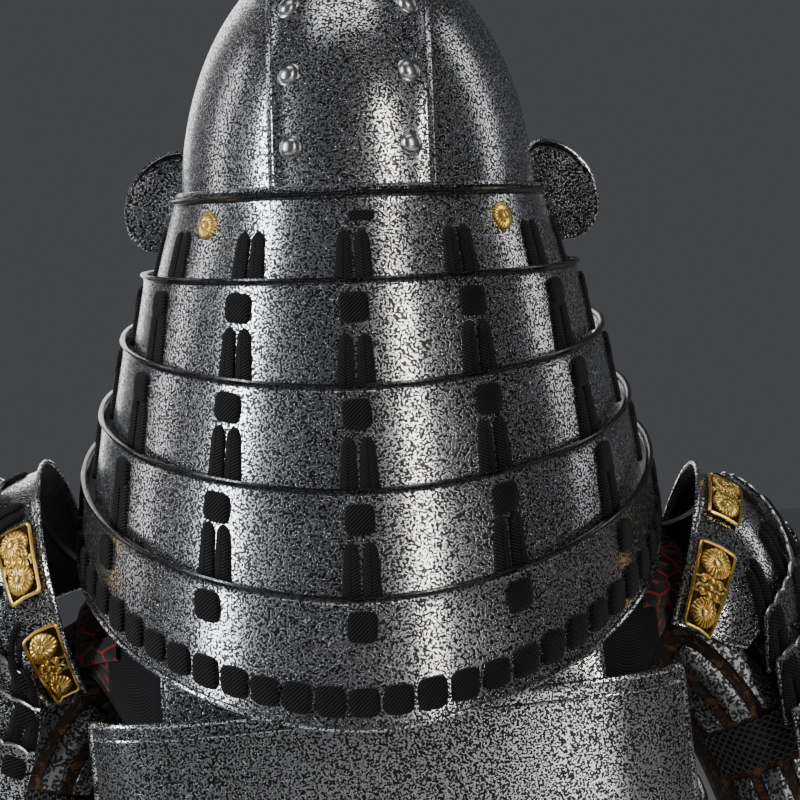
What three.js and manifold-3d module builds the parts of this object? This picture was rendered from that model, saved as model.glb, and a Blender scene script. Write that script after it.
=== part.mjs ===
// Samurai armour in the pose it is worn in: helmet, cuirass, shoulder guards, sleeves, skirt, apron, shins.
// Millimetres, +Z up. The wearer faces -Y, and the wearer's left is +X.
// The origin lies at the base of the neck, level with the tops of the shoulders.
import * as THREE from 'three'
import { mergeVertices } from 'three/addons/utils/BufferGeometryUtils.js'
import Module from 'manifold-3d'

const wasm = await Module()
wasm.setup()

// Walls and gaps
const PLATE = 2 // iron plate with its lacquer
const CLOTH = 2.5 // padded twill
const LACE = 2.2 // braided lace
const LACE_LIFT = 0.9 // room under a lace on a curved plate
const SEAM = 0.4 // gap between pieces that touch
const LAP = 18 // hidden overlap of two laced plates
const LACED_GAP = 4.8 // room between overlapping plates for the lace
const RIM = 1.6 // turned edge that stands out of a plate

// Helmet bowl: half width, half depth, height over its base
const BOWL = { a: 116, b: 130, h: 170, skirt: 12 }
const STRIP = { half: 50, lift: 0.85, base: 7 }
const RIVET = { radius: 6.2, height: 3.4, x: 35.5, heights: [30, 74, 116] }
const BAND = { low: -20, high: 5 }
const VISOR = { reach: 55, drop: 16, spread: 57 }
const HELMET = { x: -3, y: -10, z: 52, base: 133, lean: -4 }

// Top edges of the five neck plates and the free lower edge of the last:
// half width, half depth, height at the nape, rise of the edge at the sides
const NECK_EDGES = [
  { a: 121, b: 135.1, z: 2, rise: 0 },
  { a: 142, b: 161, z: -49, rise: 5 },
  { a: 157, b: 179, z: -111, rise: 28 },
  { a: 173, b: 194, z: -171, rise: 42 },
  { a: 186, b: 217, z: -230, rise: 64 },
  { a: 192, b: 225, z: -305, rise: 90 },
]
const NECK = { end: 115, step: 12, laceStep: 10, risePower: 0.85, frontSlope: 0.85 }
const LACE_COLUMNS = [-84, -57, -29, 0, 29, 57, 84]
const LACE_END = 98
const LACE_TAB = { half: 10, height: 34, taper: 1 }
const EAR = { bend: 10, turn: 122, length: 42, top: 37, low: -30, tip: 5 }
const BOSS = { radius: 9, height: 3.2, angle: 46.5, z: -15 }

// Cuirass sections from the top down: height, half width, half depth, squareness
const TORSO = [
  { z: -105, w: 195, d: 145, n: 5.5 },
  { z: -205, w: 195, d: 145, n: 5.5 },
  { z: -300, w: 180, d: 138, n: 3.4 },
  { z: -380, w: 158, d: 124, n: 2.6 },
  { z: -440, w: 156, d: 122, n: 2.4 },
]
const CUIRASS = { waist: -440, backTop: -121, frontTop: -112, underarm: -215, wall: 2.5 }
const BACK_ANGLE = 57 // where the broad back plate ends
const FRONT_ANGLE = 26 // where the narrower chest plate ends
const EDGE_TURN = 3 // angle over which a plate's side edge falls
const SIDE_ANGLE = 89.3 // the two halves meet at the sides

// Shoulder arch under the straps: height of its springing, rise, fall towards the arm
const ARCH = { foot: -135, rise: 125, flat: 60, fall: 0.42, broad: 128, inset: 6.4, outerDepth: 66 }
const ARCH_ROWS = { from: -8, step: 14, yoke: 14, nape: 4, strapFrom: 4, strap: 8 }
const STRAP = { inner: 78, outer: 133, wall: 2.6 }
const YOKE_COLUMNS = [62, 100, 133, 152, 170, 186, 200]
const PAD = { inner: 165, outer: 198, rows: [3, 11], wall: 2.6 }
const TIE = { half: 8, wall: 2.4, x: 205, z: -68, seat: 15, room: 1.1 }
const YOKE_RISE = { from: 140, angle: 42 } // the yoke's lower edge rises towards the arm

// Shoulder guards, in a frame leaning with the shoulders
const SHOULDER_LEAN = -6
const GUARD_TWIST = { left: 20, right: -20 }
const RIDGE = [
  { x: 214, z: 7 },
  { x: 236, z: -2 },
  { x: 256, z: -18 },
  { x: 271, z: -42 },
  { x: 281, z: -70 },
  { x: 292, z: -110 },
  { x: 304, z: -155 },
  { x: 317, z: -205 },
  { x: 329, z: -250 },
]
const GUARD = { depth: 80, half: 78, start: 13, end: 64, turnLength: 165, capReach: 118, reach: 80 }
const GUARD_LIFT = { cap: 1.7, lame: 0.75 } // room under a lace on the cap and on a lame
const CAP_TAPER = { share: 0.36, length: 121 }
const FLARE = { out: 3.5, fade: 2.5 }
// Upper edges of the lames on the ridge and at the back, and how far each stands off the cap
const LAMES = [
  { ridge: 24, side: 84, off: 8 },
  { ridge: 66, side: 122, off: 14 },
  { ridge: 112, side: 160, off: 20.2 },
]
const GUARD_SWEEP = 1.6 // how soon a lame's edge sweeps down from the ridge
const LAME_END = { ridge: 160, side: 194 }
const LAME_TUCK = 4 // how far a lame's foot turns back in
const GUARD_LACES = [-68, -45, -20, 20, 45, 68]
const GUARD_TAB = { length: 28, clear: 20, below: 9, edge: 4 }
const MOUNT = { near: 9, width: 23, spans: [[30, 62], [78, 116]], height: 2.4 }

// Sleeve stations down the arm: centre, lean of the section below level, half height, half depth
const SLEEVE = [
  { x: 166, y: 0, z: -110, lean: 28, h: 48, d: 50 },
  { x: 196, y: 0, z: -122, lean: 46, h: 48, d: 47 },
  { x: 219, y: 0, z: -146, lean: 62, h: 48, d: 46 },
  { x: 240, y: 0, z: -186, lean: 71, h: 47, d: 46 },
  { x: 257, y: 0, z: -236, lean: 72, h: 47, d: 47 },
  { x: 272, y: 2, z: -296, lean: 74, h: 46, d: 48 },
  { x: 284, y: 2, z: -346, lean: 78, h: 46, d: 47 },
  { x: 294, y: -8, z: -398, lean: 81, h: 43, d: 45 },
  { x: 303, y: -24, z: -470, lean: 84, h: 38, d: 40 },
  { x: 310, y: -42, z: -560, lean: 86, h: 33, d: 34 },
]
const HAND = { over: 0.18, beyond: 1, reach: 78 }

// Skirt of seven tassets, thigh apron and shin guards
const TASSET = { count: 7, top: -412, pitch: 58, lames: 5, half: 23.5, step: 3.4, flare: 0.27, lift: 1.75 }
const LEG = { x: 126, y: 6 }
const APRON = { top: -420, low: -935, radius: 92, inner: 8, outer: 92, inset: 1.2 }
const SHIN = { top: -905, knee: -968, low: -1325, reach: 84 }
const SHIN_RADII = { flare: 84.4, knee: 72, calf: 62, ankle: 46 }

// Materials
const paint = (color, roughness, metalness) => new THREE.MeshStandardMaterial({ color, roughness, metalness })
const ironPaint = paint(0x8d9094, 0.38, 0.75)
const lacePaint = paint(0x16161a, 0.9, 0)
const goldPaint = paint(0xd9a441, 0.35, 1)
const twillPaint = paint(0x1b1b1e, 0.95, 0)
const kikkoPaint = paint(0x3a1216, 0.95, 0)
const brocadePaint = paint(0x5b3a22, 0.9, 0)

const rad = THREE.MathUtils.degToRad
const lerp = THREE.MathUtils.lerp
const smooth = (value) => THREE.MathUtils.smoothstep(value, 0, 1)

/** Evenly spaced values from one end to the other. */
function spread(from, to, steps) {
  return Array.from({ length: steps + 1 }, (_, i) => lerp(from, to, i / steps))
}

/** Signed volume of an indexed geometry. */
function volumeOf(position, index) {
  const [p, q, r] = [new THREE.Vector3(), new THREE.Vector3(), new THREE.Vector3()]
  let volume = 0
  for (let i = 0; i < index.length; i += 3) {
    p.fromBufferAttribute(position, index[i])
    q.fromBufferAttribute(position, index[i + 1])
    r.fromBufferAttribute(position, index[i + 2])
    volume += p.dot(q.cross(r)) / 6
  }
  return volume
}

/** Geometry from vertices and quads, with doubled vertices joined and faces turned out. */
function solidFrom(points, quads) {
  const keys = new Map()
  const kept = []
  const remap = points.map((p) => {
    const key = p.toArray().map((c) => Math.round(c * 1e4)).join()
    if (!keys.has(key)) {
      keys.set(key, kept.length)
      kept.push(p)
    }
    return keys.get(key)
  })
  const index = []
  for (const quad of quads) {
    const [a, b, c, d] = quad.map((i) => remap[i])
    for (const face of [[a, b, c], [a, c, d]]) {
      if (new Set(face).size === 3) index.push(...face)
    }
  }
  const geometry = new THREE.BufferGeometry().setFromPoints(kept)
  if (volumeOf(geometry.attributes.position, index) < 0) index.reverse()
  geometry.setIndex(index)
  return geometry
}

/** Closed wall between an outer and an inner grid of points, open at its edges or closed around. */
function wall(outer, inner, around = false) {
  const columns = outer.length
  const rows = outer[0].length
  const points = [...outer.flat(), ...inner.flat()]
  const at = (layer, i, j) => (layer * columns + (i % columns)) * rows + j
  const quads = []
  const last = around ? columns : columns - 1
  for (let i = 0; i < last; i++) {
    for (let j = 0; j < rows - 1; j++) {
      quads.push([at(0, i, j), at(0, i + 1, j), at(0, i + 1, j + 1), at(0, i, j + 1)])
      quads.push([at(1, i, j), at(1, i, j + 1), at(1, i + 1, j + 1), at(1, i + 1, j)])
    }
    for (const [j, turned] of [[0, false], [rows - 1, true]]) {
      const rim = [at(0, i, j), at(1, i, j), at(1, i + 1, j), at(0, i + 1, j)]
      quads.push(turned ? rim.reverse() : rim)
    }
  }
  if (!around) {
    for (const [i, turned] of [[0, true], [columns - 1, false]]) {
      for (let j = 0; j < rows - 1; j++) {
        const edge = [at(0, i, j), at(1, i, j), at(1, i, j + 1), at(0, i, j + 1)]
        quads.push(turned ? edge.reverse() : edge)
      }
    }
  }
  return solidFrom(points, quads)
}

/** Outward normal of a surface of two values. */
function normalOf(surface, a, b) {
  const h = 0.02
  const alongA = surface(a + h, b).sub(surface(a - h, b))
  const alongB = surface(a, b + h).sub(surface(a, b - h))
  return alongB.cross(alongA).normalize()
}

/**
 * A sheet lying on a surface. Each column is { a, from, to }, cut into rows at the fractions.
 * low and high are its two faces' heights over the surface, as numbers or as functions of the fraction.
 */
function sheet(surface, columns, fractions, low, high, around = false) {
  const level = (value, f, column) => (typeof value === 'function' ? value(f, column) : value)
  const face = (height) =>
    columns.map((column) =>
      fractions.map((f) => {
        const b = lerp(column.from, column.to, f)
        const normal = normalOf(surface, column.a, b)
        return surface(column.a, b).addScaledVector(normal, level(height, f, column))
      }),
    )
  return wall(face(high), face(low), around)
}

/** The same geometry on the other side of the body. */
function mirrored(geometry) {
  const copy = geometry.clone()
  copy.applyMatrix4(new THREE.Matrix4().makeScale(-1, 1, 1))
  copy.setIndex(Array.from(copy.index.array).reverse())
  return copy
}

const SIDES = [
  { name: 'left', sign: 1 },
  { name: 'right', sign: -1 },
]
const onSide = (side, geometry) => (side.sign > 0 ? geometry : mirrored(geometry))

function add(group, name, geometry, material) {
  const mesh = new THREE.Mesh(geometry, material)
  mesh.name = name
  group.add(mesh)
  return mesh
}

/** Columns that raise a sheet's edge into tabs, one at each angle. */
function tabbedColumns(angles, halfAngle, ends, step, from, plainTo, tabTo) {
  const columns = []
  const push = (a, to) => columns.push({ a, from: from(a), to })
  let cursor = ends[0]
  for (const angle of angles) {
    const [near, far] = [angle - halfAngle, angle + halfAngle]
    const gaps = Math.max(1, Math.round((near - cursor) / step))
    for (const a of spread(cursor, near - LACE_TAB.taper, gaps)) push(a, plainTo(a))
    push(near, tabTo(near))
    push(far, tabTo(far))
    cursor = far + LACE_TAB.taper
  }
  const gaps = Math.max(1, Math.round((ends[1] - cursor) / step))
  for (const a of spread(cursor, ends[1], gaps)) push(a, plainTo(a))
  return columns
}

// Helmet, in a frame whose origin is the centre of the bowl's base

const helmet = new THREE.Group()
helmet.position.set(HELMET.x, HELMET.y, HELMET.z)
helmet.rotation.y = rad(HELMET.lean)
const helmetCore = new THREE.Group()
helmetCore.position.z = HELMET.base
helmet.add(helmetCore)

const FULL_TURN = spread(0, 360 - NECK.step, 360 / NECK.step - 1)

/** Point of the bowl at an angle from the nape and a height angle, shrunk by a wall. */
function bowlPoint(turn, lift, shrink) {
  const across = Math.cos(rad(Math.max(lift, 0)))
  return new THREE.Vector3(
    (BOWL.a - shrink) * across * Math.sin(rad(turn)),
    (BOWL.b - shrink) * across * Math.cos(rad(turn)),
    lift < 0 ? -BOWL.skirt : (BOWL.h - shrink) * Math.sin(rad(lift)),
  )
}

function bowl() {
  const lifts = [-1, ...spread(0, 90, 7)]
  const face = (shrink) => FULL_TURN.map((turn) => lifts.map((lift) => bowlPoint(turn, lift, shrink)))
  return wall(face(0), face(PLATE), true)
}

/** Bowl surface along the crown strip: x across, angle from the nape over the top to the brow. */
function stripSurface(angle, x) {
  const k = Math.sqrt(1 - (x / BOWL.a) ** 2)
  return new THREE.Vector3(x, BOWL.b * k * Math.cos(rad(angle)), BOWL.h * k * Math.sin(rad(angle)))
}

/** Closed manifold of a geometry, for joining. */
function manifoldOf(geometry) {
  const plain = geometry.clone()
  plain.deleteAttribute('normal')
  plain.deleteAttribute('uv')
  const merged = mergeVertices(plain, 1e-4)
  return new wasm.Manifold(
    new wasm.Mesh({
      numProp: 3,
      vertProperties: merged.attributes.position.array,
      triVerts: Uint32Array.from(merged.index.array),
    }),
  )
}

function geometryOf(manifold) {
  const mesh = manifold.getMesh()
  const geometry = new THREE.BufferGeometry()
  geometry.setAttribute('position', new THREE.BufferAttribute(mesh.vertProperties, 3))
  geometry.setIndex(new THREE.BufferAttribute(mesh.triVerts, 1))
  return geometry
}

/** Domed rivet head whose flat back lies at z = 0. */
function rivetHead() {
  const { radius, height } = RIVET
  const profile = [[0, -PLATE / 2], [radius, -PLATE / 2], [radius * 0.8, height * 0.7], [0, height]]
  const dome = new THREE.LatheGeometry(profile.map(([r, z]) => new THREE.Vector2(r, z)), 7)
  return dome.rotateX(Math.PI / 2)
}

function crownStrip() {
  const start = (Math.asin(STRIP.base / BOWL.h) * 180) / Math.PI
  const columns = spread(start, 180 - start, 24).map((a) => ({ a, from: -STRIP.half, to: STRIP.half }))
  const turned = (a, b) => stripSurface(a, -b)
  let body = manifoldOf(sheet(turned, columns, spread(0, 1, 6), STRIP.lift, STRIP.lift + PLATE))
  for (const z of RIVET.heights) {
    for (const x of [-RIVET.x, RIVET.x]) {
      const k = Math.sqrt(1 - (x / BOWL.a) ** 2)
      const rear = (Math.asin(z / (BOWL.h * k)) * 180) / Math.PI
      for (const angle of [rear, 180 - rear]) {
        const normal = normalOf(turned, angle, -x)
        const place = stripSurface(angle, x).addScaledVector(normal, STRIP.lift + PLATE)
        const head = rivetHead()
        head.applyQuaternion(new THREE.Quaternion().setFromUnitVectors(new THREE.Vector3(0, 0, 1), normal))
        head.translate(place.x, place.y, place.z)
        body = body.add(manifoldOf(head))
      }
    }
  }
  return geometryOf(body)
}

const bandSurface = (turn, z) =>
  new THREE.Vector3(BOWL.a * Math.sin(rad(turn)), BOWL.b * Math.cos(rad(turn)), z)

function bowlBand() {
  const columns = FULL_TURN.map((a) => ({ a, from: BAND.low, to: BAND.high }))
  return sheet(bandSurface, columns, [0, 1], SEAM, SEAM + PLATE + 0.2, true)
}

function visor() {
  const flat = (turn, reach) => {
    const edge = Math.cos((rad(180 - turn) * 90) / VISOR.spread)
    const out = 1 + (reach * Math.max(edge, 0.12)) / BOWL.b
    const off = SEAM + PLATE + 0.2 + SEAM
    return new THREE.Vector3(
      (BOWL.a + off) * out * Math.sin(rad(turn)),
      (BOWL.b + off) * out * Math.cos(rad(turn)),
      BAND.low + 10 - (VISOR.drop * reach * Math.max(edge, 0.12)) / VISOR.reach,
    )
  }
  const angles = spread(180 - VISOR.spread, 180 + VISOR.spread, 14)
  const columns = angles.map((a) => ({ a, from: 0, to: VISOR.reach }))
  return sheet(flat, columns, [0, 0.5, 1], -PLATE, 0)
}

/** Share of a neck edge's rise at an angle from the nape: it flattens towards the face. */
function riseShare(turn) {
  const angle = Math.min(Math.abs(turn), 180)
  if (angle <= 90) return (1 - Math.cos(rad(angle))) ** NECK.risePower
  const past = rad(angle - 90)
  const whole = rad(NECK.end - 90) + 0.3
  return 1 + NECK.frontSlope * past * (1 - past / (2 * whole))
}

const edgeHeight = (edge, turn) => edge.z + edge.rise * riseShare(turn)

/** Path of an edge around the head: an ellipse, and past its end a bend and a straight ear. */
function edgePath(edge, turn) {
  const clamp = THREE.MathUtils.clamp(turn, -NECK.end, NECK.end)
  const [s, c] = [Math.sin(rad(clamp)), Math.cos(rad(clamp))]
  const point = new THREE.Vector3(edge.a * s, edge.b * c, edgeHeight(edge, clamp))
  const past = Math.abs(turn) - NECK.end
  if (past <= 0) return point
  const side = Math.sign(turn)
  const bend = rad(EAR.turn) * EAR.bend
  const [first, end] = [NECK_EDGES[0], rad(NECK.end)]
  const heading = new THREE.Vector2(first.a * Math.cos(end), -first.b * Math.sin(end))
  const start = heading.angle()
  const turned = Math.min(past, bend) / EAR.bend
  const straight = Math.max(past - bend, 0)
  const chord = 2 * EAR.bend * Math.sin(turned / 2)
  point.x += side * (chord * Math.cos(start + turned / 2) + straight * Math.cos(start + turned))
  point.y += chord * Math.sin(start + turned / 2) + straight * Math.sin(start + turned)
  return point
}

/** Hidden lower edge of a neck plate, tucked inside the next one. */
function tuckedEdge(k) {
  const [here, next, after] = [NECK_EDGES[k], NECK_EDGES[k + 1], NECK_EDGES[k + 2]]
  const inset = PLATE + LACED_GAP
  const tuck = (key, lift) => {
    const slope = (next[key] - inset - here[key]) / (here.z + here.rise * lift - next.z - next.rise * lift)
    const drop = next.z + next.rise * lift - after.z - after.rise * lift
    const following = (after[key] - (after === NECK_EDGES[5] ? 0 : inset) - next[key]) / drop
    return next[key] - inset + LAP * Math.min(slope, following)
  }
  return { a: tuck('a', 1), b: tuck('b', 0), z: next.z - LAP, rise: next.rise }
}

const lowerEdge = (k) => (k === 4 ? NECK_EDGES[5] : tuckedEdge(k))

/** Surface of a neck plate: angle from the nape, and 0 at its lower edge to 1 at its upper edge. */
function neckSurface(k) {
  const [top, low] = [NECK_EDGES[k], lowerEdge(k)]
  return (turn, f) => edgePath(low, turn).lerp(edgePath(top, turn), f)
}

/** Fraction of a neck plate's height at a level. */
function neckFraction(k, turn, z) {
  const [top, low] = [edgeHeight(NECK_EDGES[k], turn), edgeHeight(lowerEdge(k), turn)]
  return (z - low) / (top - low)
}

/** Upper or lower outline of an ear at a distance past the plate's end. */
function earOutline(past, upper) {
  const total = rad(EAR.turn) * EAR.bend + EAR.length
  const widest = total * 0.55
  const root = upper ? NECK_EDGES[0].z : edgeHeight(lowerEdge(0), NECK.end)
  const full = upper ? EAR.top : EAR.low
  if (past < widest) return lerp(root, full, smooth(past / widest))
  const round = Math.sqrt(Math.max(1 - ((past - widest) / (total - widest + 0.6)) ** 2, 0))
  return EAR.tip + (full - EAR.tip) * round
}

const turnedRim = (f) => (f > 0.97 ? RIM : 0)

function neckPlate(k) {
  const surface = neckSurface(k)
  const steps = Math.round(NECK.end / NECK.step)
  const columns = spread(-steps * NECK.step, steps * NECK.step, steps * 2)
    .filter((a) => Math.abs(a) < NECK.end - 1)
    .map((a) => ({ a, from: 0, to: 1 }))
  const ends = k === 0 ? earColumns() : [{ a: NECK.end, from: 0, to: 1 }]
  const near = ends.map((c) => ({ ...c, a: -c.a })).reverse()
  return sheet(surface, [...near, ...columns, ...ends], [0, 0.93, 1], -PLATE, turnedRim)
}

/** Columns of the ear that turns outwards from the first neck plate. */
function earColumns() {
  const total = rad(EAR.turn) * EAR.bend + EAR.length
  return [0, 4, 9, 15, 21, 28, 36, 44, 52, 58, total].filter((p) => p <= total).map((past) => ({
    a: NECK.end + past,
    from: neckFraction(0, NECK.end, earOutline(past, false)),
    to: neckFraction(0, NECK.end, earOutline(past, true)),
  }))
}

/** Lace that joins a neck plate to the next: a hidden strip with a raised tab at each pair. */
function neckLacing(k) {
  const surface = neckSurface(k)
  const next = NECK_EDGES[k + 1]
  const halfAngle = (LACE_TAB.half / next.b) * (180 / Math.PI)
  const level = (a, over) => neckFraction(k, a, edgeHeight(next, a) + over)
  const columns = tabbedColumns(
    LACE_COLUMNS, halfAngle, [-LACE_END, LACE_END], NECK.laceStep,
    () => 0.02, (a) => level(a, -4), (a) => level(a, LACE_TAB.height),
  )
  return sheet(surface, columns, [0, 1], LACE_LIFT, LACE_LIFT + LACE)
}

function boss(side) {
  const surface = neckSurface(0)
  const f = neckFraction(0, BOSS.angle, BOSS.z)
  const normal = normalOf(surface, BOSS.angle, f)
  const place = surface(BOSS.angle, f).addScaledVector(normal, SEAM + 0.4)
  const { radius, height } = BOSS
  const profile = [[0, 0], [radius, 0], [radius, 1], [radius * 0.6, height], [0, height]]
  const disc = new THREE.LatheGeometry(profile.map(([r, z]) => new THREE.Vector2(r, z)), 16)
  disc.rotateX(Math.PI / 2)
  disc.applyQuaternion(new THREE.Quaternion().setFromUnitVectors(new THREE.Vector3(0, 0, 1), normal))
  disc.translate(place.x, place.y, place.z)
  return onSide(side, geometryOf(manifoldOf(disc)))
}

add(helmetCore, 'helmet_bowl', bowl(), ironPaint)
add(helmetCore, 'crown_strip', crownStrip(), ironPaint)
add(helmetCore, 'bowl_band', bowlBand(), ironPaint)
add(helmetCore, 'visor', visor(), ironPaint)
for (let k = 0; k < 5; k++) add(helmetCore, `neck_plate_${k + 1}`, neckPlate(k), ironPaint)
for (let k = 0; k < 4; k++) add(helmetCore, `neck_lacing_${k + 1}`, neckLacing(k), lacePaint)
for (const side of SIDES) add(helmetCore, `boss_${side.name}`, boss(side), goldPaint)

// Cuirass

/** Row of a table at a height, each of its columns worked out between two rows. */
function rowAt(table, z) {
  const i = THREE.MathUtils.clamp(table.findIndex((row) => z >= row.z), 1, table.length - 1)
  const [high, low] = [table[i - 1], table[i]]
  const f = smooth((high.z - z) / (high.z - low.z))
  return Object.fromEntries(Object.keys(high).map((key) => [key, lerp(high[key], low[key], f)]))
}

/** Torso surface: angle from the middle of the back, and height. */
function torsoSurface(turn, z) {
  const { w, d, n } = rowAt(TORSO, z)
  const [s, c] = [Math.sin(rad(turn)), Math.cos(rad(turn))]
  const x = w * Math.sign(s) * Math.abs(s) ** (2 / n)
  return new THREE.Vector3(x, d * Math.sign(c) * Math.abs(c) ** (2 / n), z)
}

/** Half of the cuirass about the middle of the back or chest, with its top cut down under the arms. */
function cuirassHalf(middle, wideAngle, top) {
  const angles = [2, 7, 15, 26, 38, 48, 57].filter((a) => a < wideAngle)
  const high = [...angles, wideAngle].map((a) => ({ a, from: CUIRASS.waist, to: top }))
  const steps = Math.max(3, Math.round((SIDE_ANGLE - wideAngle) / 10))
  const fall = spread(wideAngle + EDGE_TURN, SIDE_ANGLE, steps)
  const low = fall.map((a) => ({ a, from: CUIRASS.waist, to: CUIRASS.underarm }))
  const half = [...high, ...low]
  const near = half.map((c) => ({ ...c, a: -c.a })).reverse()
  const columns = [...near, ...half].map((c) => ({ ...c, a: c.a + middle }))
  const rim = (f) => (f > 0.99 ? RIM : 0)
  return sheet(torsoSurface, columns, [0, 0.25, 0.5, 0.75, 0.97, 1], -CUIRASS.wall, rim)
}

/** Depth of the shoulder arch at a distance from the middle: inside the cuirass, then narrower at the arm. */
function archDepth(x) {
  const { w, d, n } = TORSO[0]
  const out = Math.abs(x)
  const broad = d * (1 - (Math.min(out, ARCH.broad) / w) ** n) ** (1 / n) - ARCH.inset
  const last = YOKE_COLUMNS[YOKE_COLUMNS.length - 1]
  return lerp(broad, ARCH.outerDepth, smooth((out - ARCH.broad) / (last - ARCH.broad)))
}

const archTop = (x) => ARCH.foot + ARCH.rise - Math.max(Math.abs(x) - ARCH.flat, 0) * ARCH.fall

/** Shoulder arch: x across, angle from its foot at the back over the top to its foot in front. */
function archSurface(x, angle) {
  const height = archTop(x) - ARCH.foot
  return new THREE.Vector3(x, archDepth(x) * Math.cos(rad(angle)), ARCH.foot + height * Math.sin(rad(angle)))
}

/** Sheet on the shoulder arch between two of its rows. */
function archSheet(xs, fromRow, toRow, low, high, trim = 0) {
  const angle = (row) => ARCH_ROWS.from + ARCH_ROWS.step * row
  const columns = xs.map((a) => ({ a, from: angle(fromRow) + trim, to: angle(toRow) }))
  return sheet(archSurface, columns, spread(0, 1, toRow - fromRow), low, high)
}

const napePlate = () =>
  archSheet([-STRAP.outer, -100, -62, 0, 62, 100, STRAP.outer], 0, ARCH_ROWS.nape, SEAM, SEAM + STRAP.wall)

const shoulderStrap = (side) => {
  const trim = 0.3
  const last = ARCH_ROWS.strapFrom + ARCH_ROWS.strap
  const xs = [STRAP.inner, 100, STRAP.outer]
  return onSide(side, archSheet(xs, ARCH_ROWS.strapFrom, last, SEAM, SEAM + STRAP.wall, trim))
}

function yoke(side) {
  const last = YOKE_COLUMNS[YOKE_COLUMNS.length - 1]
  const columns = YOKE_COLUMNS.map((a) => {
    const from = ARCH_ROWS.from + YOKE_RISE.angle * smooth((a - YOKE_RISE.from) / (last - YOKE_RISE.from))
    return { a, from, to: 180 - from }
  })
  return onSide(side, sheet(archSurface, columns, spread(0, 1, ARCH_ROWS.yoke), -CLOTH, 0))
}

/** Quilted wing sewn along the arm side of the yoke. */
const pad = (side) =>
  onSide(side, archSheet([PAD.inner, 176, 187, PAD.outer], ...PAD.rows, LACE_LIFT, LACE_LIFT + PAD.wall))

const armour = new THREE.Group()
armour.add(helmet)
add(armour, 'cuirass_back', cuirassHalf(0, BACK_ANGLE, CUIRASS.backTop), ironPaint)
add(armour, 'cuirass_front', cuirassHalf(180, FRONT_ANGLE, CUIRASS.frontTop), ironPaint)
add(armour, 'nape_plate', napePlate(), ironPaint)
for (const side of SIDES) {
  add(armour, `shoulder_strap_${side.name}`, shoulderStrap(side), ironPaint)
  add(armour, `yoke_${side.name}`, yoke(side), twillPaint)
  add(armour, `shoulder_pad_${side.name}`, pad(side), kikkoPaint)
}

// Shoulder guards, in a frame that leans with the shoulders

const shoulders = new THREE.Group()
shoulders.rotation.y = rad(SHOULDER_LEAN)
armour.add(shoulders)

const ridgeLine = new THREE.CatmullRomCurve3(RIDGE.map((p) => new THREE.Vector3(p.x, 0, p.z)))
const ridgeLength = ridgeLine.getLength()

/** Point of the ridge at a distance from the cap's inner rim. */
function ridgeAt(s) {
  const t = THREE.MathUtils.clamp(s / ridgeLength, 0, 1)
  const point = ridgeLine.getPointAt(t)
  const beyond = s - t * ridgeLength
  return point.addScaledVector(ridgeLine.getTangentAt(t), beyond)
}

/** Shoulder guard surface on the left: angle about the ridge (back is positive), distance along it. */
function guardSurface(twist) {
  return (angle, s) => {
    const lean = rad(lerp(GUARD.start, GUARD.end, smooth(s / GUARD.turnLength)))
    const swing = rad(angle + twist)
    const inward = GUARD.depth * (1 - Math.cos(swing))
    const point = ridgeAt(s)
    point.x -= inward * Math.sin(lean)
    point.z -= inward * Math.cos(lean)
    point.y += GUARD.half * Math.sin(swing)
    return point
  }
}

/** Distance of a lame's upper edge from the cap's rim at an angle. */
function lameEdge(row, angle) {
  const share = Math.sin(rad(Math.min(Math.abs(angle) * GUARD_SWEEP, 90))) ** 2
  return lerp(row.ridge, row.side, share)
}

const flared = (f, column) => {
  const s = lerp(column.from, column.to, f)
  return FLARE.out * Math.exp(-s / FLARE.fade)
}

/** Cap of a shoulder guard: its two ends draw in as it runs out over the arm. */
function guardCap(side) {
  const whole = guardSurface(GUARD_TWIST[side.name])
  const surface = (angle, s) => whole(angle * (1 - CAP_TAPER.share * (s / CAP_TAPER.length) ** 2), s)
  const columns = spread(-GUARD.capReach, GUARD.capReach, 18).map((a) => ({
    a, from: 0, to: lameEdge(LAMES[0], a) + LAP * 0.8,
  }))
  const flareIn = (f, column) => flared(f, column) - PLATE
  return onSide(side, sheet(surface, columns, [0, 0.07, 0.28, 0.52, 0.76, 1], flareIn, flared))
}

function guardLame(side, k) {
  const surface = guardSurface(GUARD_TWIST[side.name])
  const [row, next] = [LAMES[k], LAMES[k + 1] ?? LAME_END]
  const lap = LAMES[k + 1] ? LAP * 0.6 : 0
  const columns = spread(-GUARD.reach, GUARD.reach, 12).map((a) => ({
    a, from: lameEdge(row, a), to: lameEdge(next, a) + lap,
  }))
  const outer = (f) => row.off - LAME_TUCK * f * f
  return onSide(side, sheet(surface, columns, [0, 0.33, 0.67, 1], (f) => outer(f) - PLATE, outer))
}

function guardLacing(side, k) {
  const surface = guardSurface(GUARD_TWIST[side.name])
  const row = LAMES[k]
  const low = k === 0 ? GUARD_LIFT.cap : LAMES[k - 1].off + GUARD_LIFT.lame
  const halfAngle = (LACE_TAB.half / GUARD.depth) * (180 / Math.PI) * 0.9
  const columns = tabbedColumns(
    GUARD_LACES, halfAngle, [-GUARD.reach + GUARD_TAB.edge, GUARD.reach - GUARD_TAB.edge], 12,
    (a) => lameEdge(row, a) + GUARD_TAB.below,
    (a) => lameEdge(row, a) + GUARD_TAB.edge,
    (a) => Math.max(lameEdge(row, a) - GUARD_TAB.length, GUARD_TAB.clear),
  )
  return onSide(side, sheet(surface, columns, [0, 0.5, 1], low, low + LACE))
}

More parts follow.
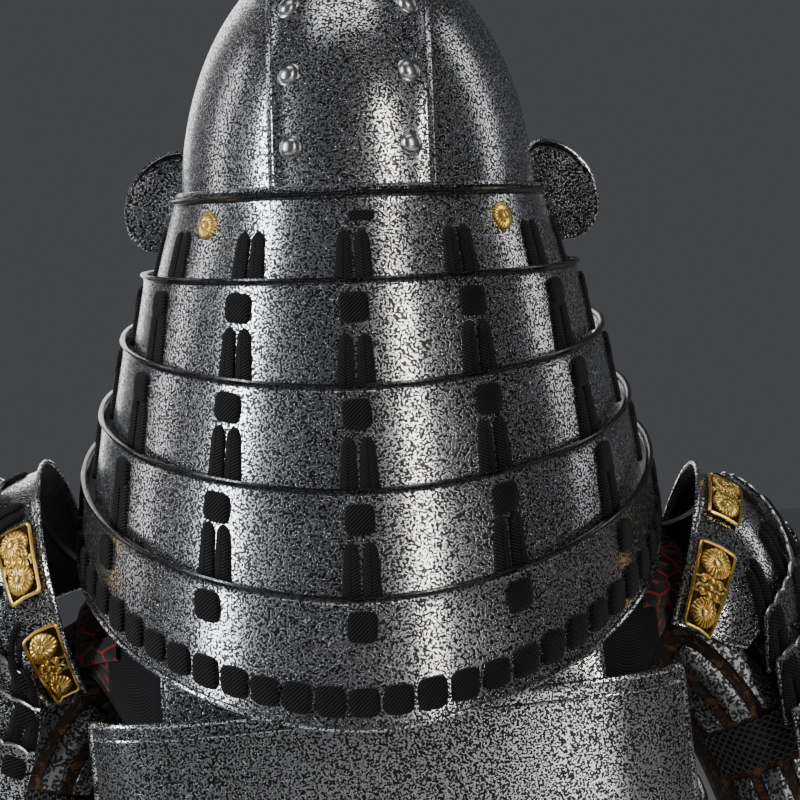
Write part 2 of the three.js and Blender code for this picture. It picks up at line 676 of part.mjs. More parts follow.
function goldMount(side, span) {
  const surface = guardSurface(GUARD_TWIST[side.name])
  const far = (a) => {
    const speed = surface(a, MOUNT.near + 1).distanceTo(surface(a, MOUNT.near))
    return MOUNT.near + MOUNT.width / speed
  }
  const columns = spread(span[0], span[1], 5).map((a) => ({ a, from: MOUNT.near, to: far(a) }))
  const low = (f, column) => flared(f, column) + GUARD_LIFT.cap
  const high = (f, column) => low(f, column) + MOUNT.height
  return onSide(side, sheet(surface, columns, [0, 0.33, 0.67, 1], low, high))
}

/** Flat cord that ties a shoulder guard's cap to the shoulder strap. */
function guardTie(side) {
  const turn = rad(SHOULDER_LEAN) * side.sign
  const seat = ridgeAt(TIE.seat)
  const foot = new THREE.Vector2(STRAP.outer + SEAM, archTop(STRAP.outer) + SEAM + TIE.wall)
  const head = new THREE.Vector2(
    seat.x * Math.cos(turn) + seat.z * Math.sin(turn),
    -seat.x * Math.sin(turn) + seat.z * Math.cos(turn) - PLATE - TIE.room,
  )
  const line = new THREE.QuadraticBezierCurve(foot, new THREE.Vector2(TIE.x, TIE.z), head)
  const surface = (f, y) => {
    const point = line.getPoint(THREE.MathUtils.clamp(f, 0, 1))
    return new THREE.Vector3(point.x, -y, point.y)
  }
  const columns = spread(0.02, 0.98, 6).map((a) => ({ a, from: -TIE.half, to: TIE.half }))
  return onSide(side, sheet(surface, columns, [0, 1], -TIE.wall, 0))
}

/** Sleeve on the left arm: angle about its section (0 outermost), and station number. */
function sleeveSurface(turn, station) {
  const i = THREE.MathUtils.clamp(Math.floor(station), 0, SLEEVE.length - 2)
  const f = station - i
  const at = (key) => lerp(SLEEVE[i][key], SLEEVE[i + 1][key], f)
  const lean = rad(at('lean'))
  const [up, back] = [at('h') * Math.cos(rad(turn)), at('d') * Math.sin(rad(turn))]
  return new THREE.Vector3(at('x') + up * Math.sin(lean), at('y') + back, at('z') + up * Math.cos(lean))
}

function sleeve(side) {
  const columns = spread(0, 345, 14).map((a) => ({ a, from: 0, to: SLEEVE.length - 1 }))
  return onSide(side, sheet(sleeveSurface, columns, spread(0, 1, 9), -CLOTH, 0, true))
}

/** Plate over the back of the hand: it laps over the cuff and runs on in line with it. */
function handGuard(side) {
  const cuff = SLEEVE.length - 1
  const columns = spread(-HAND.reach, HAND.reach, 8).map((a) => ({
    a, from: cuff - HAND.over, to: cuff + HAND.beyond * (0.6 + 0.4 * Math.cos(rad(a))),
  }))
  return onSide(side, sheet(sleeveSurface, columns, spread(0, 1, 4), LACE_LIFT, LACE_LIFT + PLATE))
}

for (const side of SIDES) {
  add(shoulders, `guard_cap_${side.name}`, guardCap(side), ironPaint)
  for (let k = 0; k < LAMES.length; k++) {
    add(shoulders, `guard_lame_${side.name}_${k + 1}`, guardLame(side, k), ironPaint)
    add(shoulders, `guard_lacing_${side.name}_${k + 1}`, guardLacing(side, k), lacePaint)
  }
  MOUNT.spans.forEach((span, i) => {
    add(shoulders, `gold_mount_${side.name}_${i + 1}`, goldMount(side, span), goldPaint)
  })
  add(armour, `guard_tie_${side.name}`, guardTie(side), lacePaint)
  add(armour, `sleeve_${side.name}`, sleeve(side), brocadePaint)
  add(armour, `hand_guard_${side.name}`, handGuard(side), ironPaint)
}

// Skirt, thigh apron and shin guards

/** Skirt surface: it follows the waist and flares downwards. */
function skirtSurface(turn, z) {
  const { w, d, n } = rowAt(TORSO, Math.max(z, CUIRASS.waist))
  const out = Math.max(CUIRASS.waist + 10 - z, 0) * TASSET.flare
  const [s, c] = [Math.sin(rad(turn)), Math.cos(rad(turn))]
  return new THREE.Vector3(
    (w + out) * Math.sign(s) * Math.abs(s) ** (2 / n),
    (d + out) * Math.sign(c) * Math.abs(c) ** (2 / n),
    z,
  )
}

/** One tasset: five lames in a stepped wall, each standing out over the one above. */
function tasset(middle) {
  const low = TASSET.top - TASSET.pitch * TASSET.lames
  const heights = []
  const steps = []
  for (let i = 0; i < TASSET.lames; i++) {
    heights.push(TASSET.top - TASSET.pitch * i - (i ? 1.2 : 0), TASSET.top - TASSET.pitch * (i + 1))
    steps.push(i, i)
  }
  const fractions = heights.map((z) => (z - TASSET.top) / (low - TASSET.top))
  const step = (f) => steps[fractions.indexOf(f)] * TASSET.step
  const angles = spread(middle - TASSET.half, middle + TASSET.half, 5)
  const columns = angles.map((a) => ({ a, from: TASSET.top, to: low }))
  const near = (f) => TASSET.lift + step(f)
  return sheet(skirtSurface, columns, fractions, near, (f) => near(f) + PLATE + 0.4)
}

/** Thigh apron: its top lies inside the waist, its foot wraps the front of the thigh. Angles run inwards. */
function apronSurface(turn, z) {
  const out = -turn
  const waist = torsoSurface(180 - out, CUIRASS.waist)
  const wrap = rad(lerp(-100, 118, (out - APRON.inner) / (APRON.outer - APRON.inner)))
  const [across, ahead] = [APRON.radius * Math.sin(wrap), APRON.radius * Math.cos(wrap)]
  const thigh = new THREE.Vector3(LEG.x + across, LEG.y - ahead, z)
  const f = smooth((CUIRASS.waist - 20 - z) / (CUIRASS.waist - 20 - (APRON.low + 190)))
  return new THREE.Vector3(lerp(waist.x, thigh.x, f), lerp(waist.y, thigh.y, f), z)
}

function apron(side) {
  const columns = spread(-APRON.outer, -APRON.inner, 14).map((a) => ({ a, from: APRON.top, to: APRON.low }))
  const off = -CUIRASS.wall - APRON.inset
  return onSide(side, sheet(apronSurface, columns, spread(0, 1, 7), off - CLOTH, off))
}

/** Shin guard: a knee flare tucked under the apron and a tapering plate down to the ankle. */
function shinSurface(turn, z) {
  const r = SHIN_RADII
  const table = [
    { z: SHIN.top, r: r.flare },
    { z: SHIN.knee, r: r.knee },
    { z: SHIN.knee - 110, r: r.calf },
    { z: SHIN.low, r: r.ankle },
  ]
  const radius = rowAt(table, z).r
  const [across, ahead] = [radius * Math.sin(rad(turn)), radius * Math.cos(rad(turn))]
  return new THREE.Vector3(LEG.x - across, LEG.y - ahead, z)
}

function shinGuard(side) {
  const columns = spread(-SHIN.reach, SHIN.reach, 10).map((a) => ({ a, from: SHIN.top, to: SHIN.low }))
  return onSide(side, sheet(shinSurface, columns, spread(0, 1, 6), -PLATE, 0))
}

for (let i = 0; i < TASSET.count; i++) {
  add(armour, `tasset_${i + 1}`, tasset(((i + 0.5) * 360) / TASSET.count), ironPaint)
}
for (const side of SIDES) {
  add(armour, `apron_${side.name}`, apron(side), brocadePaint)
  add(armour, `shin_guard_${side.name}`, shinGuard(side), ironPaint)
}

export default armour
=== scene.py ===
# %% [markdown]
# # Samurai armour
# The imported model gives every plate, cloth and lace its place. This notebook dresses it: each
# plain solid gets a finely divided piece on the same surface, with rims, lacing, knots and rivets.

# %% Load the frame
import math

import bmesh
import bpy
import numpy as np
from mathutils import Matrix, Vector


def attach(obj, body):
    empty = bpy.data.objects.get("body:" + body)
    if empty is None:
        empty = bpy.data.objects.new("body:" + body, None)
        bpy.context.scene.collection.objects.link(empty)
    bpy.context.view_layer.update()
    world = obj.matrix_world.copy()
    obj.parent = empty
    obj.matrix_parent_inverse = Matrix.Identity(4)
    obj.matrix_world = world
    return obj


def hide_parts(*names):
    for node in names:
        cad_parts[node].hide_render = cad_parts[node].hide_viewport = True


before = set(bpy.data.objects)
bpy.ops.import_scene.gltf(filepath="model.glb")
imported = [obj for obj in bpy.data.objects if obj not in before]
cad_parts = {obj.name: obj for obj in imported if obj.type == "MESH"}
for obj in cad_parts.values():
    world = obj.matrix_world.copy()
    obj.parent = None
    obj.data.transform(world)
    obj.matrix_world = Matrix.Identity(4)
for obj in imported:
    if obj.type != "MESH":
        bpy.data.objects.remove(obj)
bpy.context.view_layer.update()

# %% [markdown]
# ## Camera
# The view is from behind, a little above the neck guard. A long lens keeps the plates' curves
# flat, as a portrait lens does. The three axes are worked out from a bearing, a height angle
# and a roll, because a roll can't be given by a plain look-at constraint.

# %% Camera
# Angles from straight behind, over the level and about the lens, fitted with the part
BEARING, ELEVATION, ROLL = math.radians(1.0), math.radians(4.2), math.radians(-6.0)
CAMERA_PLACE = (-0.0511, 1.4356, 0.1555)
FOCAL_PIXELS, FRAME_PIXELS, SENSOR = 2175, 800, 36

back = np.array([-math.sin(BEARING) * math.cos(ELEVATION), math.cos(BEARING) * math.cos(ELEVATION),
                 math.sin(ELEVATION)])
level = np.cross(-back, (0, 0, 1))
level /= np.linalg.norm(level)
upright = np.cross(level, -back)
right = math.cos(ROLL) * level + math.sin(ROLL) * upright
up = -math.sin(ROLL) * level + math.cos(ROLL) * upright
lens = bpy.data.cameras.new("camera")
lens.sensor_width = SENSOR
lens.lens = FOCAL_PIXELS * SENSOR / FRAME_PIXELS
camera = bpy.data.objects.new("camera", lens)
camera.matrix_world = Matrix([[right[i], up[i], back[i], CAMERA_PLACE[i]] for i in range(3)] + [[0, 0, 0, 1]])
bpy.context.scene.collection.objects.link(camera)
bpy.context.scene.camera = camera
print("lens", round(lens.lens, 1), "mm")

# %% [markdown]
# ## A wall on a surface
# Armour plates are bent sheets. A surface here is a function of two values that returns points
# in millimetres; a plate is the skin a little above it and the skin a little below it, joined
# at the edges. Working with NumPy arrays makes a whole plate in one call, and the same surface
# then carries the plate's laces and studs, so nothing floats.

# %% Surfaces and walls
MM = 0.001
PROBE = 0.02  # step that measures a surface's slope


def smooth(t):
    t = np.clip(t, 0, 1)
    return t * t * (3 - 2 * t)


def lerp(a, b, t):
    return a + (b - a) * t


def xyz(x, y, z):
    return np.stack(np.broadcast_arrays(x, y, z), axis=-1).astype(float)


def slopes(surface, a, b):
    along_a = (surface(a + PROBE, b) - surface(a - PROBE, b)) / (2 * PROBE)
    along_b = (surface(a, b + PROBE) - surface(a, b - PROBE)) / (2 * PROBE)
    return along_a, along_b


def lay(surface, a, b, height):
    """Points at a height over a surface."""
    along_a, along_b = slopes(surface, a, b)
    normal = np.cross(along_b, along_a)
    normal /= np.maximum(np.linalg.norm(normal, axis=-1, keepdims=True), 1e-9)
    return surface(a, b) + normal * np.asarray(height)[..., None]


def lengths(points):
    """Running length along a line of points."""
    return np.concatenate([[0], np.cumsum(np.linalg.norm(np.diff(points, axis=0), axis=-1))])


def wall(outer, inner, around=False):
    """Closed wall between two grids of points, as vertices, faces and flat coordinates."""
    columns, rows = outer.shape[:2]
    vertices = np.concatenate([outer.reshape(-1, 3), inner.reshape(-1, 3)])

    def at(side, i, j):
        return side * columns * rows + (i % columns) * rows + j

    faces = []
    for i in range(columns if around else columns - 1):
        for j in range(rows - 1):
            faces.append((at(0, i, j), at(0, i + 1, j), at(0, i + 1, j + 1), at(0, i, j + 1)))
            faces.append((at(1, i, j), at(1, i, j + 1), at(1, i + 1, j + 1), at(1, i + 1, j)))
        for j in (0, rows - 1):
            faces.append((at(0, i, j), at(1, i, j), at(1, i + 1, j), at(0, i + 1, j)))
    if not around:
        for i in (0, columns - 1):
            faces += [(at(0, i, j), at(1, i, j), at(1, i, j + 1), at(0, i, j + 1)) for j in range(rows - 1)]
    u = lengths(outer[:, rows // 2])
    v = lengths(outer[columns // 2])
    flat = np.stack(np.meshgrid(u, v, indexing="ij"), axis=-1).reshape(-1, 2) * MM
    return vertices, faces, np.concatenate([flat, flat])


def plate(surface, columns, low, high, outer, inner, around=False):
    """Wall whose section is two lists of (fraction, millimetres past it, height)."""
    columns = np.asarray(columns, float)
    low, high = np.broadcast_to(low, columns.shape), np.broadcast_to(high, columns.shape)

    def skin(section):
        fraction, past, height = (np.array(c, float)[None, :] for c in zip(*section))
        a = columns[:, None] + 0 * fraction
        b = lerp(low[:, None], high[:, None], fraction)
        speed = np.linalg.norm(slopes(surface, a, b)[1], axis=-1)
        return lay(surface, a, b + past / speed, height + 0 * a)

    return wall(skin(outer), skin(inner), around)


def simple(surface, columns, low, high, rows, bottom, top, around=False):
    """Wall of even thickness."""
    steps = np.linspace(0, 1, rows)
    outer, inner = [(f, 0, top) for f in steps], [(f, 0, bottom) for f in steps]
    return plate(surface, columns, low, high, outer, inner, around)


def far_rows(shape, rows, first, near, far):
    """Material numbers of a wall whose rows from the first on have their own finish."""
    return [far if min(k % rows for k in polygon) >= first else near for polygon in shape[1]]


def inner_faces(shape, outside, inside):
    """Material numbers of a wall whose inner skin has its own finish."""
    points, polygons, _ = shape
    return [inside if min(polygon) >= len(points) // 2 else outside for polygon in polygons]


print("helpers ready")

# %% [markdown]
# ## Beads, knots and laces
# Small ornaments sit on the plates. A chart turns millimetres across and along into a place on
# the surface, so a knot drawn on flat paper bends with its plate. A bead is a round wire along
# a path, a knot is a crowned square, and a lace is a half-round strip with a round tip.

# %% Beads, knots and laces
def chart(surface, a0, b0):
    """Place on a surface at x, y millimetres from a point and at a height."""
    along_a, along_b = slopes(surface, a0, b0)
    speed_a, speed_b = np.linalg.norm(along_a), np.linalg.norm(along_b)
    return lambda x, y, h: lay(surface, a0 + x / speed_a, b0 + y / speed_b, h)


def moved(place, dx=0.0, dy=0.0, lift=0.0):
    """The same chart, started from another point or further off the surface."""
    return lambda x, y, h: place(x + dx, y + dy, h + lift)


def as_surface(place):
    """A chart as a surface of its own, for beads that follow a drawing."""
    return lambda x, y: place(x, y, 0 * x)


def tube(points, flat, around=False):
    """Closed skin over rings of points, with flat ends."""
    count, ring = points.shape[:2]

    def at(i, j):
        return (i % count) * ring + j % ring

    faces = [(at(i, j), at(i + 1, j), at(i + 1, j + 1), at(i, j + 1))
             for i in range(count if around else count - 1) for j in range(ring)]
    if not around:
        faces += [tuple(at(0, j) for j in range(ring)), tuple(at(count - 1, j) for j in range(ring))]
    return points.reshape(-1, 3), faces, flat.reshape(-1, 2)


def bead(surface, a, b, radius, lift, around=False, sides=8):
    """Round wire along a path on a surface; a single value holds all along it."""
    a, b = (np.array(values, float) for values in np.broadcast_arrays(a, b))
    centre = lay(surface, a, b, 0 * a + lift)
    normal = lay(surface, a, b, 0 * a + lift + 1) - centre
    if around:
        heading = np.roll(centre, -1, axis=0) - np.roll(centre, 1, axis=0)
    else:
        heading = np.gradient(centre, axis=0)
    across = np.cross(heading, normal)
    across /= np.maximum(np.linalg.norm(across, axis=-1, keepdims=True), 1e-9)
    turn = np.arange(sides) * 2 * math.pi / sides
    ring = normal[:, None] * np.cos(turn)[None, :, None] + across[:, None] * np.sin(turn)[None, :, None]
    points = centre[:, None] + radius * ring
    run = lengths(centre)[:, None] + 0 * turn[None, :]
    return tube(points, np.stack([run, 0 * run + turn * radius], -1) * MM, around)


def wires(surface, paths, radius, lift, number=0):
    """Wires of one kind along several paths, with their material number."""
    return [(bead(surface, a, b, radius, lift), number) for a, b in paths]


def stacked(rings):
    """Vertices and faces of a solid made of rings laid over each other."""
    count = len(rings[0])
    faces = [tuple(range(count))]
    for k in range(len(rings) - 1):
        for i in range(count):
            j = (i + 1) % count
            faces.append((k * count + i, k * count + j, (k + 1) * count + j, (k + 1) * count + i))
    faces.append(tuple(range((len(rings) - 1) * count, len(rings) * count)))
    return np.concatenate(rings), faces


def crowned(place, outline, profile):
    """Solid whose rings shrink from its outline to its middle: profile is (share of the outline, height)."""
    level_line = 0 * outline[0]
    rings = [place(outline[0] * share, outline[1] * share, level_line + height) for share, height in profile]
    flat = np.concatenate([np.stack([outline[0] * s, outline[1] * s], -1) for s, _ in profile])
    return *stacked(rings), flat * MM


def squarish(half_x, half_y, power=4.0, count=28, turn=0.0):
    angle = np.arange(count) * 2 * math.pi / count
    c, s = np.cos(angle), np.sin(angle)
    x, y = half_x * np.sign(c) * np.abs(c) ** (2 / power), half_y * np.sign(s) * np.abs(s) ** (2 / power)
    return x * math.cos(turn) - y * math.sin(turn), x * math.sin(turn) + y * math.cos(turn)


def knot(place, half_x, half_y, height, turn=0.0):
    """Cushion of lace where it crosses over itself."""
    profile = [(0.94, -0.6), (1.0, height * 0.3), (0.95, height * 0.7), (0.8, height * 0.93),
               (0.5, height * 1.04), (0.15, height)]
    return crowned(place, squarish(half_x, half_y, turn=turn), profile)


LACE_SPREAD = 0.7


def lace(place, x0, y0, x1, y1, width0, width1, height, steps=12, sides=7):
    """Half-round strip from a rounded tip at (x0, y0) to a foot at (x1, y1)."""
    t = np.linspace(0, 1, steps)[:, None] ** 1.3
    tip = np.sqrt(np.clip(1 - (1 - np.minimum(t / 0.2, 1)) ** 2, 0.02, 1))
    half = lerp(width0, width1, t) / 2 * tip
    turn = np.linspace(0, math.pi, sides)[None, :]
    x = lerp(x0, x1, t) + half * np.cos(turn)
    y = lerp(y0, y1, t) + 0 * turn
    h = -0.5 + (height * (0.25 + 0.75 * tip) + 0.5) * np.sin(turn) ** 0.6
    along = np.stack([np.cos(turn) * 4 + 0 * t, t * abs(y1 - y0) + 0 * turn], -1)
    return tube(place(x, y, h), along * MM)


def lace_pair(place, top, foot, number=0, height=2.9, gap=5.6, width0=9.4, width1=12.4):
    """Two laces side by side that spread a little towards the foot, with their material number."""
    return [(lace(place, s * gap, top, s * (gap + LACE_SPREAD), foot, width0, width1, height), number)
            for s in (-1, 1)]


def rosette(place, radius, height, petals=16):
    """Fluted round stud with a button in the middle."""
    count = petals * 4
    turn = np.arange(count) * 2 * math.pi / count
    flute = np.abs(np.cos(turn * petals / 2))
    rows = [(1.0, -0.4, 0), (1.0, height * 0.3, 0), (0.93, height * 0.6, 0.5), (0.8, height * 0.84, 0.9),
            (0.6, height * 0.98, 0.9), (0.4, height * 1.04, 0.6), (0.3, height * 0.92, 0),
            (0.26, height * 1.08, 0), (0.14, height * 1.18, 0), (0.03, height * 1.2, 0)]
    rings = []
    for share, level_, cut in rows:
        r = radius * share * (1 - 0.05 * (1 - flute) * (share > 0.8))
        rings.append(place(r * np.cos(turn), r * np.sin(turn), level_ - 0.22 * height * cut * (1 - flute)))
    vertices, faces = stacked(rings)
    return vertices, faces, vertices[:, :2] * MM


print("ornaments ready")

# %% [markdown]
# ## One piece from many shapes
# Everything laid on one plate becomes one object with several materials. The faces are turned
# outwards by Blender, and an angle limit keeps plate edges crisp while curves stay smooth.

# %% Making a piece
SHARP_ANGLE = math.radians(40)
triangles = {}


def piece(name, shapes, materials, nodes=(), place=None):
    """Object from (shape, material number) pairs, in place of CAD nodes."""
    vertices, faces, flat, paint = [], [], [], []
    total = 0
    for (points, polygons, plan), number in shapes:
        vertices.append(points)
        flat.append(plan)
        faces += [tuple(total + k for k in polygon) for polygon in polygons]
        paint += number if isinstance(number, list) else [number] * len(polygons)
        total += len(points)
    points = np.concatenate(vertices)
    if place:
        points = place(points)
    mesh = bpy.data.meshes.new(name)
    mesh.from_pydata((points * MM).tolist(), [], faces)
    layer = mesh.uv_layers.new(name="plan")
    corner = np.zeros(len(mesh.loops), np.int32)
    mesh.loops.foreach_get("vertex_index", corner)
    layer.data.foreach_set("uv", np.concatenate(flat)[corner].ravel().astype(np.float32))
    for material in materials:
        mesh.materials.append(material)
    mesh.polygons.foreach_set("material_index", paint)
    work = bmesh.new()
    work.from_mesh(mesh)
    bmesh.ops.remove_doubles(work, verts=work.verts, dist=1e-6)
    bmesh.ops.dissolve_degenerate(work, edges=work.edges, dist=1e-7)
    bmesh.ops.recalc_face_normals(work, faces=work.faces)
    work.to_mesh(mesh)
    work.free()
    mesh.shade_smooth()
    mesh.set_sharp_from_angle(angle=SHARP_ANGLE)
    obj = bpy.data.objects.new(name, mesh)
    bpy.context.scene.collection.objects.link(obj)
    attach(obj, "root")
    if nodes:
        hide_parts(*nodes)
    triangles[name] = sum(len(p.vertices) - 2 for p in mesh.polygons)
    return obj


# %% [markdown]
# ## Writing materials as sums
# A procedural pattern is arithmetic on a position. Wiring a node for each sum by hand is slow,
# so a small class lets the sums be written as Python, and each one adds a Math node.

# %% Node arithmetic
class Sum:
    """A value in a node tree that can be added, multiplied and compared."""

    def __init__(self, tree, socket):
        self.tree, self.socket = tree, socket

    def math(self, operation, other=None, third=None):
        node = self.tree.nodes.new("ShaderNodeMath")
        node.operation = operation
        for index, value in enumerate((self, other, third)):
            if isinstance(value, Sum):
                self.tree.links.new(value.socket, node.inputs[index])
            elif value is not None:
                node.inputs[index].default_value = value
        return Sum(self.tree, node.outputs[0])

    def __add__(self, other): return self.math("ADD", other)
    def __sub__(self, other): return self.math("SUBTRACT", other)
    def __mul__(self, other): return self.math("MULTIPLY", other)
    def __mod__(self, other): return self.math("FLOORED_MODULO", other)
    def __abs__(self): return self.math("ABSOLUTE")
    def most(self, other): return self.math("MAXIMUM", other)
    def sine(self): return self.math("SINE")

    def step(self, low, high, out_low=0.0, out_high=1.0):
        """Soft step between two values."""
        node = self.tree.nodes.new("ShaderNodeMapRange")
        node.interpolation_type = "SMOOTHSTEP"
        self.tree.links.new(self.socket, node.inputs["Value"])
        for key, value in (("From Min", low), ("From Max", high), ("To Min", out_low), ("To Max", out_high)):
            node.inputs[key].default_value = value
        return Sum(self.tree, node.outputs["Result"])


class Paint:
    """A material under construction."""

    def __init__(self, name, **settings):
        self.material = bpy.data.materials.new(name)
        self.material.use_nodes = True
        self.tree = self.material.node_tree
        self.shader = self.tree.nodes["Principled BSDF"]
        for key, value in settings.items():
            self.shader.inputs[key.replace("_", " ")].default_value = value

    def place(self, flat=False):
        """Position in millimetres: in space, or on the plan of the cloth."""
        node = self.tree.nodes.new("ShaderNodeTexCoord")
        scale = self.tree.nodes.new("ShaderNodeVectorMath")
        scale.operation = "SCALE"
        scale.inputs["Scale"].default_value = 1 / MM
        self.tree.links.new(node.outputs["UV" if flat else "Object"], scale.inputs[0])
        return scale.outputs[0]

    def split(self, vector):
        node = self.tree.nodes.new("ShaderNodeSeparateXYZ")
        self.tree.links.new(vector, node.inputs[0])
        return [Sum(self.tree, s) for s in node.outputs]

    def noise(self, vector, size, detail=2.0, distortion=0.0, roughness=0.5):
        """Soft noise with blotches of about the size, in millimetres."""
        node = self.tree.nodes.new("ShaderNodeTexNoise")
        self.tree.links.new(vector, node.inputs["Vector"])
        values = {"Scale": 1 / size, "Detail": detail, "Distortion": distortion, "Roughness": roughness}
        for key, value in values.items():
            node.inputs[key].default_value = value
        return Sum(self.tree, node.outputs[0])

    def cells(self, vector, size, feature="F1", randomness=1.0):
        node = self.tree.nodes.new("ShaderNodeTexVoronoi")
        node.feature = feature
        self.tree.links.new(vector, node.inputs["Vector"])
        node.inputs["Scale"].default_value = 1 / size
        node.inputs["Randomness"].default_value = randomness
        return Sum(self.tree, node.outputs["Distance"])

    def mix(self, share, low, high):
        """Colour between two colours, each a triple or another mix."""
        node = self.tree.nodes.new("ShaderNodeMix")
        node.data_type = "RGBA"
        self.tree.links.new(share.socket, node.inputs["Factor"])
        for key, value in ((6, low), (7, high)):
            if isinstance(value, tuple):
                node.inputs[key].default_value = (*value, 1)
            else:
                self.tree.links.new(value, node.inputs[key])
        return node.outputs[2]

    def set(self, name, value):
        self.tree.links.new(value.socket if isinstance(value, Sum) else value, self.shader.inputs[name])

    def relief(self, height, depth):
        """Bump of a depth in millimetres."""
        node = self.tree.nodes.new("ShaderNodeBump")
        node.inputs["Distance"].default_value = depth * MM
        node.inputs["Strength"].default_value = 1.0
        self.tree.links.new(height.socket, node.inputs["Height"])
        self.tree.links.new(node.outputs[0], self.shader.inputs["Normal"])

    def finish(self, color, rough, height, depth):
        """The material, once it has its colour, roughness and bump."""
        self.set("Base Color", color)
        self.set("Roughness", rough)
        self.relief(height, depth)
        return self.material


# %% [markdown]
# ## Iron finishes
# The plates carry a black and silver crackle: black worms about a millimetre and a half wide
# on bright metal. A noise that is bent by its own distortion and then cut by a soft step gives
# worms of an even width. The same mask drives colour, metalness, roughness and relief.

# %% Iron finishes
def crackle(name, silver, black, cut, rough=(0.38, 0.21), size=1.28):
    paint = Paint(name, Coat_Weight=0.15, Coat_Roughness=0.15)
    where = paint.place()
    worms = paint.noise(where, size, detail=0.6, distortion=0.35)
    patches = paint.noise(where, 38, detail=2)
    mask = (worms + (patches - 0.5) * 0.07).step(cut - 0.035, cut + 0.035)
    grain = paint.noise(where, 0.5, detail=1)
    bright = mask * grain.step(0.2, 0.8, 0.82, 1.0)
    paint.set("Metallic", mask.step(0, 1, 0.55, 1.0))
    return paint.finish(paint.mix(bright, black, silver), mask.step(0, 1, *rough), mask + grain * 0.08, 0.42)


iron = crackle("crackle_iron", (0.66, 0.67, 0.69), (0.006, 0.006, 0.007), 0.495)
hammered = crackle("hammered_iron", (0.27, 0.27, 0.28), (0.012, 0.012, 0.012), 0.50, (0.42, 0.3), size=1.9)


def bare_metal(name, color, rough, spot, wear):
    paint = Paint(name, Metallic=1.0)
    where = paint.place()
    stain = paint.noise(where, spot, detail=4, roughness=0.6)
    worn = paint.mix(stain.step(0.3, 0.75), tuple(c * wear for c in color), color)
    dents = paint.noise(where, spot / 4, detail=2)
    return paint.finish(worn, stain.step(0.25, 0.8, rough + 0.14, rough), dents, 0.06)


steel = bare_metal("polished_steel", (0.66, 0.67, 0.69), 0.2, 5.0, 0.45)
# Darker crackle for the neck plates' lips: painted shade for the lip's shadowed underside
painted_shade_lip = crackle("painted_shade_lip", (0.10, 0.10, 0.11), (0.006, 0.006, 0.007), 0.52, (0.25, 0.22))
gold = bare_metal("gilt_brass", (1.0, 0.68, 0.2), 0.23, 3.0, 0.72)
# Near-black inside of the shoulder caps: painted shade for the shaded inner face, with random blotches
shaded_lining = Paint("painted_shade_lining", Coat_Weight=0.0)
blotches = shaded_lining.noise(shaded_lining.place(), 14, detail=4)
shaded_lining.set("Base Color", shaded_lining.mix(blotches, (0.010, 0.010, 0.011), (0.028, 0.027, 0.027)))
shaded_lining.set("Roughness", shaded_lining.noise(shaded_lining.place(), 3, detail=3).step(0.3, 0.7, 0.55, 0.8))
shaded_lining = shaded_lining.material
print("iron finishes", [m.name for m in (iron, hammered, steel, gold, shaded_lining)])

# %% [markdown]
# ## Cloth finishes
# The laces are flat braids: two rows of slanting stitches that meet in the middle as a
# herringbone, drawn with the distance along the lace plus the distance from its middle line.
# Twill is a fine slanted rib. The wing cloth has red hexagons with a flower dot in each, found
# as the nearer of two offset grids. The brocade's stems follow one contour of a noise, and its
# leaves are cells that lie close to that contour.

# %% Cloth finishes
STITCH, HEXAGON_THREAD, BROCADE_THREAD, LEAF = 1.9, 1.1, 0.9, 8.5  # pitches in millimetres


def braid():
    paint = Paint("braided_lace", Sheen_Weight=0.05, Sheen_Roughness=0.5, Specular_IOR_Level=0.18)
    x, y, _ = paint.split(paint.place(flat=True))
    stitch = ((abs(x) * 0.9 + y) * (2 * math.pi / STITCH)).sine()
    groove = abs(x).step(0.0, 0.5)
    weave = stitch.step(-0.9, 0.6) * groove
    color = paint.mix(weave, (0.0015, 0.0015, 0.002), (0.011, 0.010, 0.011))
    return paint.finish(color, weave.step(0, 1, 0.9, 0.62), weave, 0.55)


def twill(name, dark, light, pitch=1.5):
    paint = Paint(name, Sheen_Weight=0.05, Sheen_Roughness=0.5, Specular_IOR_Level=0.18)
    where = paint.place(flat=True)
    x, y, _ = paint.split(where)
    warp = ((x - y) * (2 * math.pi / (pitch * 1.7))).sine().step(-1, 1, 0.6, 1)
    rib = ((x + y) * (2 * math.pi / pitch)).sine() * warp
    worn = paint.noise(where, 25, detail=3).step(0.2, 0.8, 0.6, 1.0)
    color = paint.mix(rib.step(-0.8, 0.8) * worn, dark, light)
    return paint.finish(color, rib.step(-1, 1, 0.95, 0.75), rib, 0.3)


def hexagon_cloth(pitch=19.0):
    paint = Paint("hexagon_cloth", Sheen_Weight=0.15, Sheen_Roughness=0.5, Specular_IOR_Level=0.25)
    where = paint.place(flat=True)
    x, y, _ = paint.split(where)
    tall = pitch * math.sqrt(3)

    def grid(shift):
        gx = abs((x + shift * pitch) % pitch - pitch / 2)
        gy = abs((y + shift * tall) % tall - tall / 2)
        return gx, gy, gx * gx + gy * gy

    (ax, ay, near), (bx, by, far) = grid(0.0), grid(0.5)
    pick = near.math("LESS_THAN", far)
    hx = bx + (ax - bx) * pick
    hy = by + (ay - by) * pick
    edge = hx.most(hx * 0.5 + hy * (math.sqrt(3) / 2))
    line = edge.step(pitch * 0.455, pitch * 0.475)
    dot = (hx * hx + hy * hy).step((pitch * 0.13) ** 2, (pitch * 0.09) ** 2)
    thread = ((x - y) * (2 * math.pi / HEXAGON_THREAD)).sine()
    mark = line.most(dot)
    ground = paint.mix(thread.step(-1, 1), (0.004, 0.004, 0.005), (0.018, 0.015, 0.018))
    color = paint.mix(mark, ground, (0.30, 0.008, 0.012))
    return paint.finish(color, thread.step(-1, 1, 0.85, 0.65), mark * 0.7 + thread * 0.3, 0.35)


